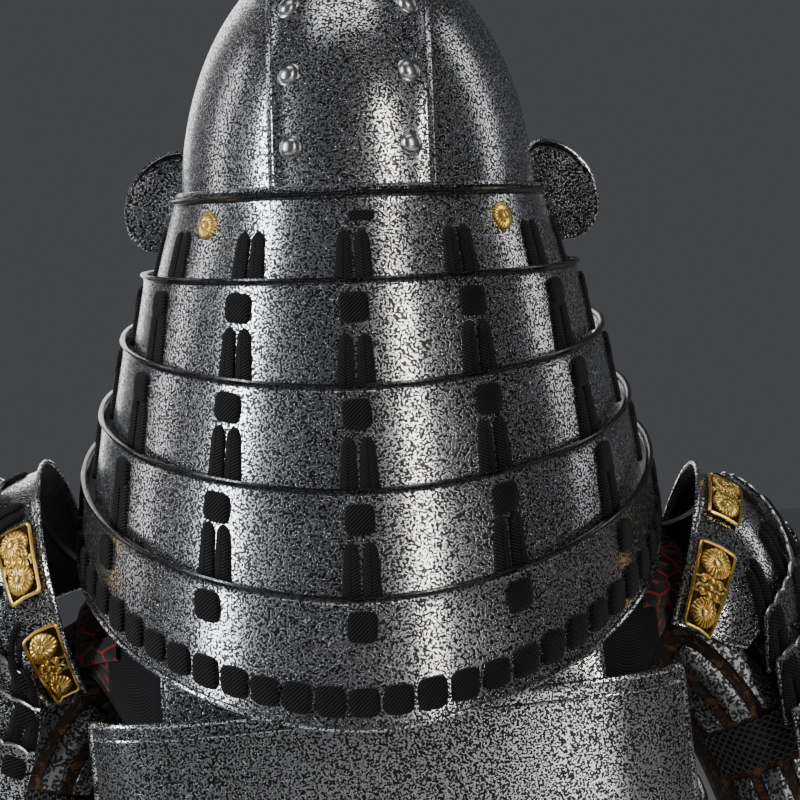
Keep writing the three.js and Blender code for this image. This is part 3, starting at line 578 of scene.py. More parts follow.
def brocade():
    paint = Paint("scroll_brocade", Sheen_Weight=0.1, Sheen_Roughness=0.4)
    where = paint.place(flat=True)
    x, y, _ = paint.split(where)
    bend = paint.noise(where, 13, detail=2, distortion=1.4)
    stem = abs(bend - 0.5).step(0.022, 0.010)
    cell = paint.cells(where, LEAF, randomness=0.9)
    leaf = cell.step(0.40, 0.30) * abs(bend - 0.5).step(0.115, 0.085)
    vein = abs((cell * (2 * math.pi / 0.16)).sine()).step(0.1, 0.45)
    figure = stem.most(leaf * vein)
    thread = (y * (2 * math.pi / BROCADE_THREAD)).sine()
    ground = paint.mix(thread.step(-1, 1), (0.006, 0.003, 0.002), (0.022, 0.009, 0.006))
    gilt = paint.mix(thread.step(-1, 1), (0.06, 0.026, 0.010), (0.17, 0.080, 0.028))
    paint.set("Metallic", figure.step(0, 1, 0.0, 0.35))
    color = paint.mix(figure, ground, gilt)
    return paint.finish(color, figure.step(0, 1, 0.85, 0.5), figure * 0.8 + thread * 0.2, 0.5)


def mail(pitch=6.0):
    """Rows of small iron rings, each row offset by half a ring."""
    paint = Paint("black_mail", Metallic=0.6)
    where = paint.place(flat=True)
    x, y, _ = paint.split(where)

    def rings(shift):
        gx = (x + shift * pitch) % pitch - pitch / 2
        gy = (y + shift * pitch) % pitch - pitch / 2
        away = (gx * gx + gy * gy).math("SQRT")
        return abs(away - pitch * 0.36).step(pitch * 0.15, 0.0)

    wire = rings(0.0).most(rings(0.5))
    color = paint.mix(wire, (0.002, 0.002, 0.002), (0.085, 0.085, 0.09))
    return paint.finish(color, wire.step(0, 1, 0.6, 0.25), wire, 1.1)


laces = braid()
black_twill = twill("black_twill", (0.0015, 0.0015, 0.002), (0.017, 0.017, 0.019), 2.3)
knot_weave = twill("knot_weave", (0.0015, 0.0015, 0.002), (0.014, 0.013, 0.014), 2.4)
hexagons = hexagon_cloth()
scrolls = brocade()
ring_mail = mail()
print("cloth finishes", [m.name for m in (laces, black_twill, hexagons, scrolls, ring_mail)])

# %% [markdown]
# ## Helmet bowl
# The helmet is built in a frame of its own, with the middle of the bowl's base at its origin,
# and then leaned four degrees and lifted onto the neck. The bowl is half an egg with a short
# straight skirt; a broad riveted strip runs over its crown from nape to brow.

# %% Helmet bowl, crown strip and band
PLATE = 2.0
BOWL_A, BOWL_B, BOWL_H, BOWL_SKIRT = 116, 130, 170, 12
HELMET_X, HELMET_Y, HELMET_Z, HELMET_BASE, HELMET_LEAN = -3, -10, 52, 133, math.radians(-4)


def turned(points, angle):
    """Points turned about the Y axis."""
    c, s = math.cos(angle), math.sin(angle)
    x, y, z = np.moveaxis(np.asarray(points), -1, 0)
    return xyz(x * c + z * s, y, -x * s + z * c)


def on_neck(points):
    return turned(points + (0, 0, HELMET_BASE), HELMET_LEAN) + (HELMET_X, HELMET_Y, HELMET_Z)


def bowl_surface(turn, height):
    lift = np.radians(np.maximum(height, 0))
    across = np.cos(lift)
    z = np.where(height < 0, height * BOWL_SKIRT, BOWL_H * np.sin(lift))
    return xyz(BOWL_A * across * np.sin(np.radians(turn)), BOWL_B * across * np.cos(np.radians(turn)), z)


AROUND = np.arange(0, 360, 3.0)
LIFTS = np.concatenate([[-1, -0.5], np.linspace(0, 90, 31)])
shell = bowl_surface(AROUND[:, None] + 0 * LIFTS, LIFTS[None, :] + 0 * AROUND[:, None])
shell = wall(shell, shell * ((BOWL_A - PLATE) / BOWL_A), around=True)
piece("helmet_shell", [(shell, 0)], [iron], ["helmet_bowl"], on_neck)


def crown_surface(angle, x):
    k = np.sqrt(np.maximum(1 - (x / BOWL_A) ** 2, 0.01))
    return xyz(-x, BOWL_B * k * np.cos(np.radians(angle)), BOWL_H * k * np.sin(np.radians(angle)))


STRIP_HALF, STRIP_LIFT, STRIP_START = 50, 0.85, 2.36
RIVET_HEIGHTS, RIVET_X, RIVET_RADIUS = (30, 74, 116), 35.5, 6.2
RIVET_DOME = [(1.14, 2.2), (1.14, 3.3), (1.0, 3.7), (0.96, 4.6), (0.82, 6.0), (0.6, 6.9), (0.3, 7.4),
              (0.05, 7.5)]
across = np.array([-1, -0.985, -0.955, -0.93, -0.905, -0.88, -0.75, -0.5, -0.25, 0])
relief = np.array([1.3, 2.0, 2.0, 2.9, 2.9, 2.0, 2.0, 2.0, 2.0, 2.0])
across, relief = np.concatenate([across, -across[-2::-1]]), np.concatenate([relief, relief[-2::-1]])
outer = [((s + 1) / 2, 0, STRIP_LIFT + h) for s, h in zip(across, relief)]
inner = [((s + 1) / 2, 0, STRIP_LIFT) for s in across]
along = np.linspace(STRIP_START, 180 - STRIP_START, 90)
strip = [(plate(crown_surface, along, -STRIP_HALF, STRIP_HALF, outer, inner), 0)]
round_stud = tuple(RIVET_RADIUS * c for c in squarish(1, 1, power=2, count=24))
for height in RIVET_HEIGHTS:
    for x in (-RIVET_X, RIVET_X):
        k = math.sqrt(1 - (x / BOWL_A) ** 2)
        rear = math.degrees(math.asin(height / (BOWL_H * k)))
        for angle in (rear, 180 - rear):
            spot = chart(crown_surface, angle, x)
            strip.append((crowned(spot, round_stud, RIVET_DOME), 1))
piece("crown_strip_riveted", strip, [iron, steel], ["crown_strip"], on_neck)


def band_surface(turn, z):
    return xyz(BOWL_A * np.sin(np.radians(turn)), BOWL_B * np.cos(np.radians(turn)), z + 0 * turn)


BAND_LOW, BAND_HIGH, SEAM = -20, 5, 0.4
band = [(simple(band_surface, AROUND, BAND_LOW, BAND_HIGH, 4, SEAM, SEAM + PLATE, True), 0)]
for z, radius in ((BAND_HIGH, 2.2), (BAND_HIGH - 5.5, 1.0)):
    band.append((bead(band_surface, AROUND, z, radius, SEAM + PLATE, around=True), 0))
piece("base_band_beaded", band, [iron], ["bowl_band"], on_neck)

VISOR_REACH, VISOR_DROP, VISOR_SPREAD = 55, 16, 57


def visor_surface(turn, reach):
    edge = np.maximum(np.cos(np.radians((180 - turn) * 90 / VISOR_SPREAD)), 0.12)
    out = 1 + reach * edge / BOWL_B
    off = 2 * SEAM + PLATE + 0.2
    return xyz((BOWL_A + off) * out * np.sin(np.radians(turn)),
               (BOWL_B + off) * out * np.cos(np.radians(turn)),
               BAND_LOW + 10 - VISOR_DROP * reach * edge / VISOR_REACH)


brow = np.linspace(180 - VISOR_SPREAD, 180 + VISOR_SPREAD, 61)
peak = [(simple(visor_surface, brow, 0, VISOR_REACH, 10, -PLATE, 0), 0),
        (bead(visor_surface, brow, VISOR_REACH, 2.1, -PLATE / 2), 0)]
piece("visor_rimmed", peak, [iron], ["visor"], on_neck)
print("helmet", {n: triangles[n] for n in triangles})

# %% [markdown]
# ## Neck guard
# Five plates hang below the bowl, each tucked inside the next and wider one. Every upper edge
# is turned out into a narrow lip that catches the light and throws a dark line above it; the lip
# wears a darker crackle, painted shade for its shadowed underside. The lip is part of the
# plate's section, so it has real thickness.

# %% Neck guard plates
# Each edge of the neck guard as (half width, half depth, height behind, rise at the side)
NECK_EDGES = [(121, 135.1, 2, 0), (142, 161, -49, 5), (157, 179, -111, 28), (173, 194, -171, 42),
              (186, 217, -230, 64), (192, 225, -305, 90)]
NECK_END, RISE_POWER, FRONT_SLOPE = 115, 0.85, 0.85
LAP, LACED_GAP = 18, 4.8
EAR_BEND, EAR_TURN, EAR_LENGTH, EAR_TOP, EAR_LOW, EAR_TIP = 10, math.radians(122), 42, 37, -30, 5


def rise_share(turn):
    angle = np.minimum(np.abs(turn), 180)
    past = np.radians(np.maximum(angle - 90, 0))
    whole = math.radians(NECK_END - 90) + 0.3
    return np.where(angle <= 90, (1 - np.cos(np.radians(np.minimum(angle, 90)))) ** RISE_POWER,
                    1 + FRONT_SLOPE * past * (1 - past / (2 * whole)))


def edge_height(edge, turn):
    return edge[2] + edge[3] * rise_share(turn)


def edge_path(edge, turn):
    """Ellipse around the head, and past its end a bend and a straight ear."""
    held = np.clip(turn, -NECK_END, NECK_END)
    x, y = edge[0] * np.sin(np.radians(held)), edge[1] * np.cos(np.radians(held))
    past = np.maximum(np.abs(turn) - NECK_END, 0)
    side = np.sign(turn)
    heading = math.atan2(-NECK_EDGES[0][1] * math.sin(math.radians(NECK_END)),
                         NECK_EDGES[0][0] * math.cos(math.radians(NECK_END)))
    bent = np.minimum(past, EAR_TURN * EAR_BEND) / EAR_BEND
    straight = np.maximum(past - EAR_TURN * EAR_BEND, 0)
    chord = 2 * EAR_BEND * np.sin(bent / 2)
    x = x + side * (chord * np.cos(heading + bent / 2) + straight * np.cos(heading + bent))
    y = y + chord * np.sin(heading + bent / 2) + straight * np.sin(heading + bent)
    return xyz(x, y, edge_height(edge, held))


def tucked_edge(k):
    here, below, after = NECK_EDGES[k], NECK_EDGES[k + 1], NECK_EDGES[k + 2]
    inset = PLATE + LACED_GAP

    def tuck(i, lift):
        slope = (below[i] - inset - here[i]) / (here[2] + here[3] * lift - below[2] - below[3] * lift)
        drop = below[2] + below[3] * lift - after[2] - after[3] * lift
        following = (after[i] - (0 if after is NECK_EDGES[5] else inset) - below[i]) / drop
        return below[i] - inset + LAP * min(slope, following)

    return tuck(0, 1), tuck(1, 0), below[2] - LAP, below[3]


NECK_FEET = [tucked_edge(k) for k in range(4)] + [NECK_EDGES[5]]


def neck_surface(k):
    foot, top = NECK_FEET[k], NECK_EDGES[k]
    return lambda turn, f: lerp(edge_path(foot, turn), edge_path(top, turn), np.asarray(f)[..., None])


def neck_fraction(k, turn, z):
    top, low = edge_height(NECK_EDGES[k], turn), edge_height(NECK_FEET[k], turn)
    return (z - low) / (top - low)


def ear_outline(past, upper):
    total = EAR_TURN * EAR_BEND + EAR_LENGTH
    widest = total * 0.55
    root = NECK_EDGES[0][2] if upper else edge_height(NECK_FEET[0], NECK_END)
    full = EAR_TOP if upper else EAR_LOW
    if past < widest:
        return lerp(root, full, smooth(past / widest))
    return EAR_TIP + (full - EAR_TIP) * math.sqrt(max(1 - ((past - widest) / (total - widest + 0.6)) ** 2, 0))


# Section of a lip: (fraction, millimetres past the edge, height)
LIP_OUT = [(1, -5.0, 0), (1, -3.6, 0.2), (1, -2.5, 0.7), (1, -1.9, 1.5), (1, -1.6, 2.3), (1, -1.0, 3.0)]
LIP_IN = [(1, -5.0, -2), (1, -2.4, -1.9), (1, -0.6, -1.4), (1, 0.3, -0.2), (1, 0.6, 1.5), (1, 0.2, 2.8)]
BODY = [0, 0.12, 0.25, 0.37, 0.5, 0.62, 0.75, 0.87]
plate_section = ([(f, 0, 0) for f in BODY] + LIP_OUT, [(f, 0, -PLATE) for f in BODY] + LIP_IN)
around_neck = np.arange(-NECK_END, NECK_END + 0.1, 1.25)
ear_past = np.concatenate([np.arange(1.5, 60, 1.5), [60.5, 61.5, 62.4, 63.0, 63.28]])
ears_low = [neck_fraction(0, NECK_END, ear_outline(p, False)) for p in ear_past]
ears_top = [neck_fraction(0, NECK_END, ear_outline(p, True)) for p in ear_past]
neck_plates = {}
for k in range(5):
    columns, low, high = around_neck, 0 * around_neck, 0 * around_neck + 1
    shapes = []
    if k == 0:
        columns = np.concatenate([-NECK_END - ear_past[::-1], columns, NECK_END + ear_past])
        low = np.concatenate([ears_low[::-1], low, ears_low])
        high = np.concatenate([ears_top[::-1], high, ears_top])
        for side in (-1, 1):
            edge = np.concatenate([ear_past, ear_past[::-1]])
            reach = np.array(ears_low + ears_top[::-1])
            shapes.append((bead(neck_surface(0), side * (NECK_END + edge), reach, 1.5, -PLATE / 2), 0))
    if k == 4:
        shapes.append((bead(neck_surface(4), around_neck, 0, 1.9, 0.2), 0))
    for side in (-1, 1) if k else ():
        end = np.linspace(0, 1, 12)
        shapes.append((bead(neck_surface(k), side * (NECK_END - 0.4), end, 1.5, 0), 0))
    body = plate(neck_surface(k), columns, low, high, *plate_section)
    # The lip rows take the darker crackle, painted shade for the lip's underside
    shapes.append((body, far_rows(body, len(plate_section[0]), len(BODY) + 1, 0, 2)))
    neck_plates[k] = shapes
print("neck plates", len(neck_plates), "columns", len(around_neck))

# %% [markdown]
# ## Lacing of the neck guard
# Each plate hangs from the one above by black braids. A pair of braids comes out of the upper
# plate and slips behind the next plate's lip, and a square cross knot holds it below the lip.
# A row of knots runs round the lowest plate, parallel to its edge.

# %% Neck lacing, knots and studs
LACE_ANGLES = [-86, -58, -29, 0, 29, 58, 86]
OUTER_ANGLES = [-108, 108]
PAIR_TOP, PAIR_FOOT = 30, -5
KNOT_BELOW, KNOT_HALF, KNOT_HEIGHT = 17, 8.9, 3.2
HEM_ABOVE, HEM_PITCH, HEM_KNOTS = 15.5, 5.85, 37


def at_height(k, turn, z):
    return chart(neck_surface(k), turn, float(neck_fraction(k, turn, z)))


for k in range(4):
    below = NECK_EDGES[k + 1]
    braids = []
    for turn in LACE_ANGLES + OUTER_ANGLES:
        spot = at_height(k, turn, edge_height(below, turn))
        braids += lace_pair(spot, PAIR_TOP, PAIR_FOOT)
    piece(f"neck_braids_{k + 1}", braids, [laces], [f"neck_lacing_{k + 1}"], on_neck)

for k in range(5):
    knots = []
    if k:
        for number, turn in enumerate(LACE_ANGLES + OUTER_ANGLES):
            spot = at_height(k, turn, edge_height(NECK_EDGES[k], turn) - KNOT_BELOW)
            sway = 0.06 * math.sin(3.1 * number + k)
            knots.append((knot(spot, KNOT_HALF, KNOT_HALF + 0.4, KNOT_HEIGHT, sway), 1))
    else:
        slot_spot = at_height(0, -2.5, NECK_EDGES[0][2] - 14)
        knots.append((knot(slot_spot, 8.0, 3.4, 1.0), 1))
    if k == 4:
        for number in range(HEM_KNOTS):
            turn = (number - HEM_KNOTS // 2) * HEM_PITCH
            spot = at_height(4, turn, edge_height(NECK_EDGES[5], turn) + HEM_ABOVE)
            tilt = math.radians(turn) * -0.12 + 0.05 * math.sin(2.3 * number)
            knots.append((knot(spot, 8.9, 9.0 + 0.5 * math.sin(1.7 * number), 3.4, tilt), 1))
    piece(f"neck_plate_lipped_{k + 1}", neck_plates[k] + knots, [iron, knot_weave, painted_shade_lip],
          [f"neck_plate_{k + 1}"], on_neck)

BOSS_ANGLE, BOSS_Z, BOSS_RADIUS = 46.5, -15, 9
for side, name in ((1, "left"), (-1, "right")):
    stud = rosette(at_height(0, side * BOSS_ANGLE, BOSS_Z), BOSS_RADIUS, 3.6, petals=22)
    piece(f"rosette_{name}", [(stud, 0)], [gold], [f"boss_{name}"], on_neck)
print("neck guard", sum(v for n, v in triangles.items() if n.startswith("neck")), "triangles")

# %% [markdown]
# ## Cuirass
# Back and chest are two stiff plates that meet at the sides. The flat back plate has rounded
# upper corners and a double raised border, so a wire is laid along its edge and a second one
# inside it. Three laced seams cross each plate, every one a wire with seven pairs of braids and
# a knot under each pair. Between the shoulders a nape plate and two straps bend over the arch.

# %% Cuirass
# Torso as (height, half width, half depth, squareness)
TORSO = [(-105, 195, 145, 5.5), (-205, 195, 145, 5.5), (-300, 180, 138, 3.4), (-380, 158, 124, 2.6),
         (-440, 156, 122, 2.4)]
WAIST, BACK_TOP, FRONT_TOP, UNDERARM, CUIRASS_WALL = -440, -121, -112, -215, 2.5
BACK_ANGLE, FRONT_ANGLE, SIDE_ANGLE = 57, 26, 89.3


def table_at(table, z):
    """Columns of a table at a height, eased between its rows."""
    z = np.asarray(z, float)
    heights = np.array([row[0] for row in table])
    i = np.clip(np.searchsorted(-heights, -z, side="left"), 1, len(table) - 1)
    f = smooth((heights[i - 1] - z) / (heights[i - 1] - heights[i]))
    return [lerp(np.array([r[c] for r in table])[i - 1], np.array([r[c] for r in table])[i], f)
            for c in range(1, len(table[0]))]


def squared(turn, w, d, n, z):
    s, c = np.sin(np.radians(turn)), np.cos(np.radians(turn))
    return xyz(w * np.sign(s) * np.abs(s) ** (2 / n), d * np.sign(c) * np.abs(c) ** (2 / n), z)


def torso_surface(turn, z):
    return squared(turn, *table_at(TORSO, z), z)


def panel_surface(facing):
    """Back or front of the torso by millimetres across, for the laces on its broad flat middle."""
    def surface(across, z):
        w, d, n = table_at(TORSO, z)
        return xyz(facing * across, facing * d * (1 - (np.abs(across) / w) ** n) ** (1 / n), z)

    return surface


LACED_SEAMS, SEAM_LACES, LACE_SPACING = (-262, -322, -382), 7, 40
SEAM_BRAID, SEAM_KNOT = dict(height=1.9, gap=4.2, width0=7, width1=8.4), (6.2, 6.4, 2.5)
CORNER, WIRE_INSET, WIRE_BELOW = 3.0, 2.5, 9  # two angles in degrees and a drop in millimetres


def cuirass_half(name, node, middle, wide, top):
    """Plate with its top cut down under the arms and a wire along the cut."""
    columns = np.concatenate([np.arange(0.75, wide - 1, 1.5), [wide - 0.6, wide]])
    tops = top + 0 * columns
    tops[-2:] = [top - 2, top - 8]
    under = np.concatenate([np.linspace(wide + CORNER * 0.3, wide + CORNER, 3),
                            np.arange(wide + CORNER + 1.5, SIDE_ANGLE, 1.5), [SIDE_ANGLE]])
    corner = [lerp(top, UNDERARM, 0.45), lerp(top, UNDERARM, 0.8), UNDERARM]
    drop = np.concatenate([corner, np.full(len(under) - 3, UNDERARM)])
    half_columns, half_tops = np.concatenate([columns, under]), np.concatenate([tops, drop])
    columns = np.concatenate([-half_columns[::-1], half_columns]) + middle
    tops = np.concatenate([half_tops[::-1], half_tops])
    body = simple(torso_surface, columns, WAIST, tops, 24, -CUIRASS_WALL, 0)
    shapes = [(body, 0), (bead(torso_surface, columns, tops, 2.2, -0.3), 0)]
    inside = np.abs(columns - middle) <= wide - WIRE_INSET
    shapes.append((bead(torso_surface, columns[inside], tops[inside] - WIRE_BELOW, 1.1, 0.1), 0))
    shapes.append((bead(torso_surface, columns, WAIST + 4, 2.0, 0), 0))
    flat_middle = panel_surface(1 if middle == 0 else -1)
    for z in LACED_SEAMS:
        shapes.append((bead(torso_surface, columns, z, 1.4, 0.1), 0))
        for number in range(SEAM_LACES):
            across = (number - SEAM_LACES // 2) * LACE_SPACING
            shapes += lace_pair(chart(flat_middle, across, z), 17, -4, 1, **SEAM_BRAID)
            shapes.append((knot(chart(flat_middle, across, z - 14), *SEAM_KNOT), 2))
    piece(name, shapes, [iron, laces, knot_weave], [node])


cuirass_half("back_plate_rimmed", "cuirass_back", 0, BACK_ANGLE, BACK_TOP)
cuirass_half("chest_plate_rimmed", "cuirass_front", 180, FRONT_ANGLE, FRONT_TOP)

ARCH_FOOT, ARCH_RISE, ARCH_FLAT, ARCH_FALL = -135, 125, 60, 0.42
ARCH_BROAD, ARCH_INSET, ARCH_DEPTH = 128, 6.4, 66
YOKE_INNER, YOKE_OUTER, ARCH_FROM, ARCH_STEP = 62, 200, -8, 14


def arch_surface(x, angle):
    _, w, d, n = TORSO[0]
    out = np.abs(x)
    broad = d * (1 - (np.minimum(out, ARCH_BROAD) / w) ** n) ** (1 / n) - ARCH_INSET
    depth = lerp(broad, ARCH_DEPTH, smooth((out - ARCH_BROAD) / (YOKE_OUTER - ARCH_BROAD)))
    height = ARCH_RISE - np.maximum(out - ARCH_FLAT, 0) * ARCH_FALL
    return xyz(x, depth * np.cos(np.radians(angle)), ARCH_FOOT + height * np.sin(np.radians(angle)))


STRAP_INNER, STRAP_OUTER, STRAP_WALL, STRAP_STUDS = 78, 133, 2.6, (70, 88, 106)


def arch_plate(xs, first, last):
    low, high = ARCH_FROM + ARCH_STEP * first, ARCH_FROM + ARCH_STEP * last
    angles = np.linspace(low, high, 40)
    shapes = [(simple(arch_surface, xs, low, high, 40, SEAM, SEAM + STRAP_WALL), 0)]
    edges = [(xs[0], angles), (xs[-1], angles), (xs, low), (xs, high)]
    return shapes + wires(arch_surface, edges, 1.7, SEAM + STRAP_WALL / 2)


nape = arch_plate(np.linspace(-STRAP_OUTER, STRAP_OUTER, 90), 0, 4)
piece("nape_plate_rimmed", nape, [iron], ["nape_plate"])
SIDES = ((1, "left"), (-1, "right"))


def mirror(side):
    return lambda points: points * (side, 1, 1)


for side, name in SIDES:
    straps = arch_plate(np.linspace(STRAP_INNER, STRAP_OUTER, 24), 4.03, 12)
    for angle in STRAP_STUDS:
        spot = chart(arch_surface, (STRAP_INNER + STRAP_OUTER) / 2, angle)
        straps.append((rosette(spot, 7, 4.5), 1))
    piece(f"strap_rimmed_{name}", straps, [iron, gold], [f"shoulder_strap_{name}"], mirror(side))
print("cuirass", triangles["back_plate_rimmed"], triangles["chest_plate_rimmed"])

# %% [markdown]
# ## Shoulder cloth
# Under the straps lies a stiff cloth yoke in black twill, with a strip of hexagon cloth at the
# arm, and a quilted wing of hexagon cloth is sewn over that strip. The wing is a padded sheet,
# so its outer face is lifted between rows of stitching by a sine wave.

# %% Yokes and wings
CLOTH, LACE_LIFT = 2.5, 0.9
PAD_INNER, PAD_OUTER, PAD_WALL = 165, 198, 2.6
HEXAGONS_FROM, YOKE_CUT_FROM, YOKE_CUT = 172, 140, 42
QUILT_ROWS, QUILT_RISE, QUILT_BORDER = 9, 3.2, 6
for side, name in SIDES:
    xs = np.linspace(YOKE_INNER, YOKE_OUTER, 60)
    start = ARCH_FROM + YOKE_CUT * smooth((xs - YOKE_CUT_FROM) / (YOKE_OUTER - YOKE_CUT_FROM))
    sheet = simple(arch_surface, xs, start, 180 - start, 64, -CLOTH, 0)
    covered = [0 if sheet[0][polygon[0], 0] > HEXAGONS_FROM else 1 for polygon in sheet[1]]
    cloth = [(sheet, covered)]
    edge = np.linspace(start[-1], 180 - start[-1], 60)
    cloth += wires(arch_surface, [(YOKE_OUTER, edge), (xs, start), (xs, 180 - start)], 1.8, -CLOTH / 2, 1)
    yoke = piece(f"yoke_cloth_{name}", cloth, [hexagons, black_twill], [f"yoke_{name}"],
                 mirror(side))
    xs = np.linspace(PAD_INNER, PAD_OUTER, 26)
    rows = np.linspace(ARCH_FROM + ARCH_STEP * 3, ARCH_FROM + ARCH_STEP * 11, 90)
    x, angle = np.meshgrid(xs, rows, indexing="ij")
    puff = np.abs(np.sin((rows - rows[0]) / (rows[-1] - rows[0]) * QUILT_ROWS * math.pi)) ** 0.5
    border = np.minimum(np.minimum(x - PAD_INNER, PAD_OUTER - x) / QUILT_BORDER, 1)
    over = LACE_LIFT + PAD_WALL + QUILT_RISE * puff[None, :] * smooth(border)
    quilt = wall(lay(arch_surface, x, angle, over), lay(arch_surface, x, angle, LACE_LIFT + 0 * x))
    wing = piece(f"wing_quilted_{name}", [(quilt, 0)], [hexagons],
                 [f"shoulder_pad_{name}"], mirror(side))
print("shoulder cloth done")

# %% [markdown]
# ## Shoulder guards
# A shoulder guard is a saddle: a ridge line runs out over the shoulder and down the arm, and a
# bow-shaped section hangs from it. The cap ends in a flared rim at the neck side; three lames
# follow, each with a scalloped upper edge. The whole pair leans six degrees with the shoulders.

# %% Shoulder guard surface
SHOULDER_LEAN = math.radians(-6)
# Ridge of a shoulder guard as (out from the middle, height)
RIDGE = np.array([(214, 7), (236, -2), (256, -18), (271, -42), (281, -70), (292, -110), (304, -155),
                  (317, -205), (329, -250)], float)
GUARD_DEPTH, GUARD_HALF, GUARD_START, GUARD_FALL, TURN_LENGTH = 80, 78, 13, 64, 165
CAP_REACH, LAME_REACH = 118, 80
TAPER_SHARE, TAPER_LENGTH = 0.36, 121
GUARD_TWIST, CAP_LAP, LAME_LAP, LAME_DROP = 20, LAP * 0.8, LAP * 0.6, 4
# Lames as (start at the ridge, start at the ends, height off the ridge surface)
LAMES = [(24, 84, 8), (66, 122, 14), (112, 160, 20.2), (160, 194, 0)]


def curve_through(table, stations):
    """Smooth curve through the rows of a table, read at values of the station."""
    table = np.asarray(table, float)
    tangents = np.gradient(table, stations, axis=0)

    def at(value):
        value = np.asarray(value, float)
        i = np.clip(np.searchsorted(stations, value, side="right") - 1, 0, len(stations) - 2)
        span = (stations[i + 1] - stations[i])[..., None]
        t = ((value - stations[i]) / (stations[i + 1] - stations[i]))[..., None]
        inside = np.clip(t, 0, 1)
        a, b, c, d = table[i], table[i + 1], tangents[i] * span, tangents[i + 1] * span
        h = inside
        point = (a * (1 + 2 * h) * (1 - h) ** 2 + c * h * (1 - h) ** 2 + b * h * h * (3 - 2 * h)
                 + d * h * h * (h - 1))
        return point + (t - inside) * np.where(t > 1, d, c)

    return at


ridge_at = curve_through(RIDGE, lengths(RIDGE))


def guard_surface(twist):
    def surface(angle, s):
        angle, s = np.broadcast_arrays(np.asarray(angle, float), np.asarray(s, float))
        lean = np.radians(lerp(GUARD_START, GUARD_FALL, smooth(s / TURN_LENGTH)))
        swing = np.radians(angle + twist)
        inward = GUARD_DEPTH * (1 - np.cos(swing))
        ridge = ridge_at(s)
        return xyz(ridge[..., 0] - inward * np.sin(lean), GUARD_HALF * np.sin(swing),
                   ridge[..., 1] - inward * np.cos(lean))

    return surface


def cap_surface(surface):
    """The cap's two ends draw in as it runs out over the arm."""
    return lambda angle, s: surface(angle * (1 - TAPER_SHARE * (s / TAPER_LENGTH) ** 2), s)


def lame_edge(row, angle):
    return lerp(LAMES[row][0], LAMES[row][1], np.sin(np.radians(np.minimum(np.abs(angle) * 1.6, 90))) ** 2)


def on_shoulder(side):
    return lambda points: turned(points * (side, 1, 1), SHOULDER_LEAN)


print("ridge length", round(float(lengths(RIDGE)[-1])), "mm")

# %% [markdown]
# ## Cap, lames and lacing
# The scallops are rounded lobes about thirteen millimetres wide with a narrow notch between
# them. They are measured along the edge and not by angle, so they stay even where the edge
# runs down at a slant. A wire follows them.

# %% Cap, lames and lacing
SCALLOP_PITCH, SCALLOP_DEPTH = 12.7, 3.0
GUARD_LACE_ANGLES = [-68, -45, -20, 20, 47, 74]
GUARD_BRAID, GUARD_KNOT = dict(height=3.4, gap=4.4, width0=7.4, width1=8.6), (6.4, 6.6, 2.4)
FLARE_OUT, FLARE_FADE = 3.5, 2.5
for side, name in SIDES:
    surface = guard_surface(GUARD_TWIST * side)
    columns = np.linspace(-CAP_REACH, CAP_REACH, 150)
    foot = lame_edge(0, columns) + CAP_LAP
    fractions = np.concatenate([[0, 0.01, 0.02, 0.035, 0.055, 0.08, 0.12], np.linspace(0.2, 1, 16)])
    a = columns[:, None] + 0 * fractions
    s = foot[:, None] * fractions
    flare = (FLARE_OUT + 1.5) * np.exp(-s / FLARE_FADE)
    tapered = cap_surface(surface)
    cap = wall(lay(tapered, a, s, flare), lay(tapered, a, s, flare - PLATE))
    # The cap's inner faces take the near-black colour, painted shade for the side turned from the light
    shapes = [(cap, inner_faces(cap, 0, 1)), (bead(tapered, columns, 0, 1.6, FLARE_OUT + 0.4), 0)]
    shapes.append((bead(tapered, columns, foot, 1.6, -PLATE / 2), 0))
    for end in (-CAP_REACH, CAP_REACH):
        run = np.linspace(0, float(lame_edge(0, end)) + CAP_LAP, 20)
        shapes.append((bead(tapered, end, run, 1.6, 0.2), 0))
    piece(f"cap_flared_{name}", shapes, [iron, shaded_lining], [f"guard_cap_{name}"], on_shoulder(side))

    for k in range(3):
        columns = np.linspace(-LAME_REACH, LAME_REACH, 260)
        base = lame_edge(k, columns)
        arc = lengths(surface(columns, base))
        bite = SCALLOP_DEPTH * (1 - np.abs(np.sin(math.pi * arc / SCALLOP_PITCH)) ** 0.6)
        top = base - 1.0 + bite
        lap = LAME_LAP if k < 2 else 0
        low = lame_edge(k + 1, columns) + lap
        off = LAMES[k][2]
        steps = np.linspace(0, 1, 16)
        outer = [(f, 0, off - LAME_DROP * f * f) for f in steps]
        inner = [(f, 0, off - LAME_DROP * f * f - PLATE) for f in steps]
        shapes = [(plate(surface, columns, top, low, outer, inner), 0),
                  (bead(surface, columns, top, 1.25, off - 0.4), 1)]
        shapes.append((bead(surface, columns, low, 1.5, off - LAME_DROP - PLATE / 2), 0))
        for end in (-LAME_REACH, LAME_REACH):
            run = np.linspace(float(lame_edge(k, end)), float(lame_edge(k + 1, end)) + lap, 24)
            f = (run - run[0]) / (run[-1] - run[0])
            shapes.append((bead(surface, end, run, 1.4, off - LAME_DROP * f * f - 0.8), 0))
        for angle in GUARD_LACE_ANGLES:
            spot = chart(surface, angle, float(lame_edge(k, angle)) + 13)
            shapes.append((knot(moved(spot, lift=off - 0.3), *GUARD_KNOT), 2))
        piece(f"lame_scalloped_{name}_{k + 1}", shapes, [iron, steel, knot_weave],
              [f"guard_lame_{name}_{k + 1}"], on_shoulder(side))

        braids = []
        under = 0.3 if k == 0 else LAMES[k - 1][2] - 1.0
        for angle in GUARD_LACE_ANGLES:
            spot = chart(surface, angle, float(lame_edge(k, angle)))
            raised = moved(spot, lift=under)
            braids += lace_pair(raised, -27, 7, **GUARD_BRAID)
        piece(f"guard_braids_{name}_{k + 1}", braids, [laces],
              [f"guard_lacing_{name}_{k + 1}"], on_shoulder(side))
print("shoulder guards", sum(v for n, v in triangles.items() if "lame" in n or "cap" in n), "triangles")

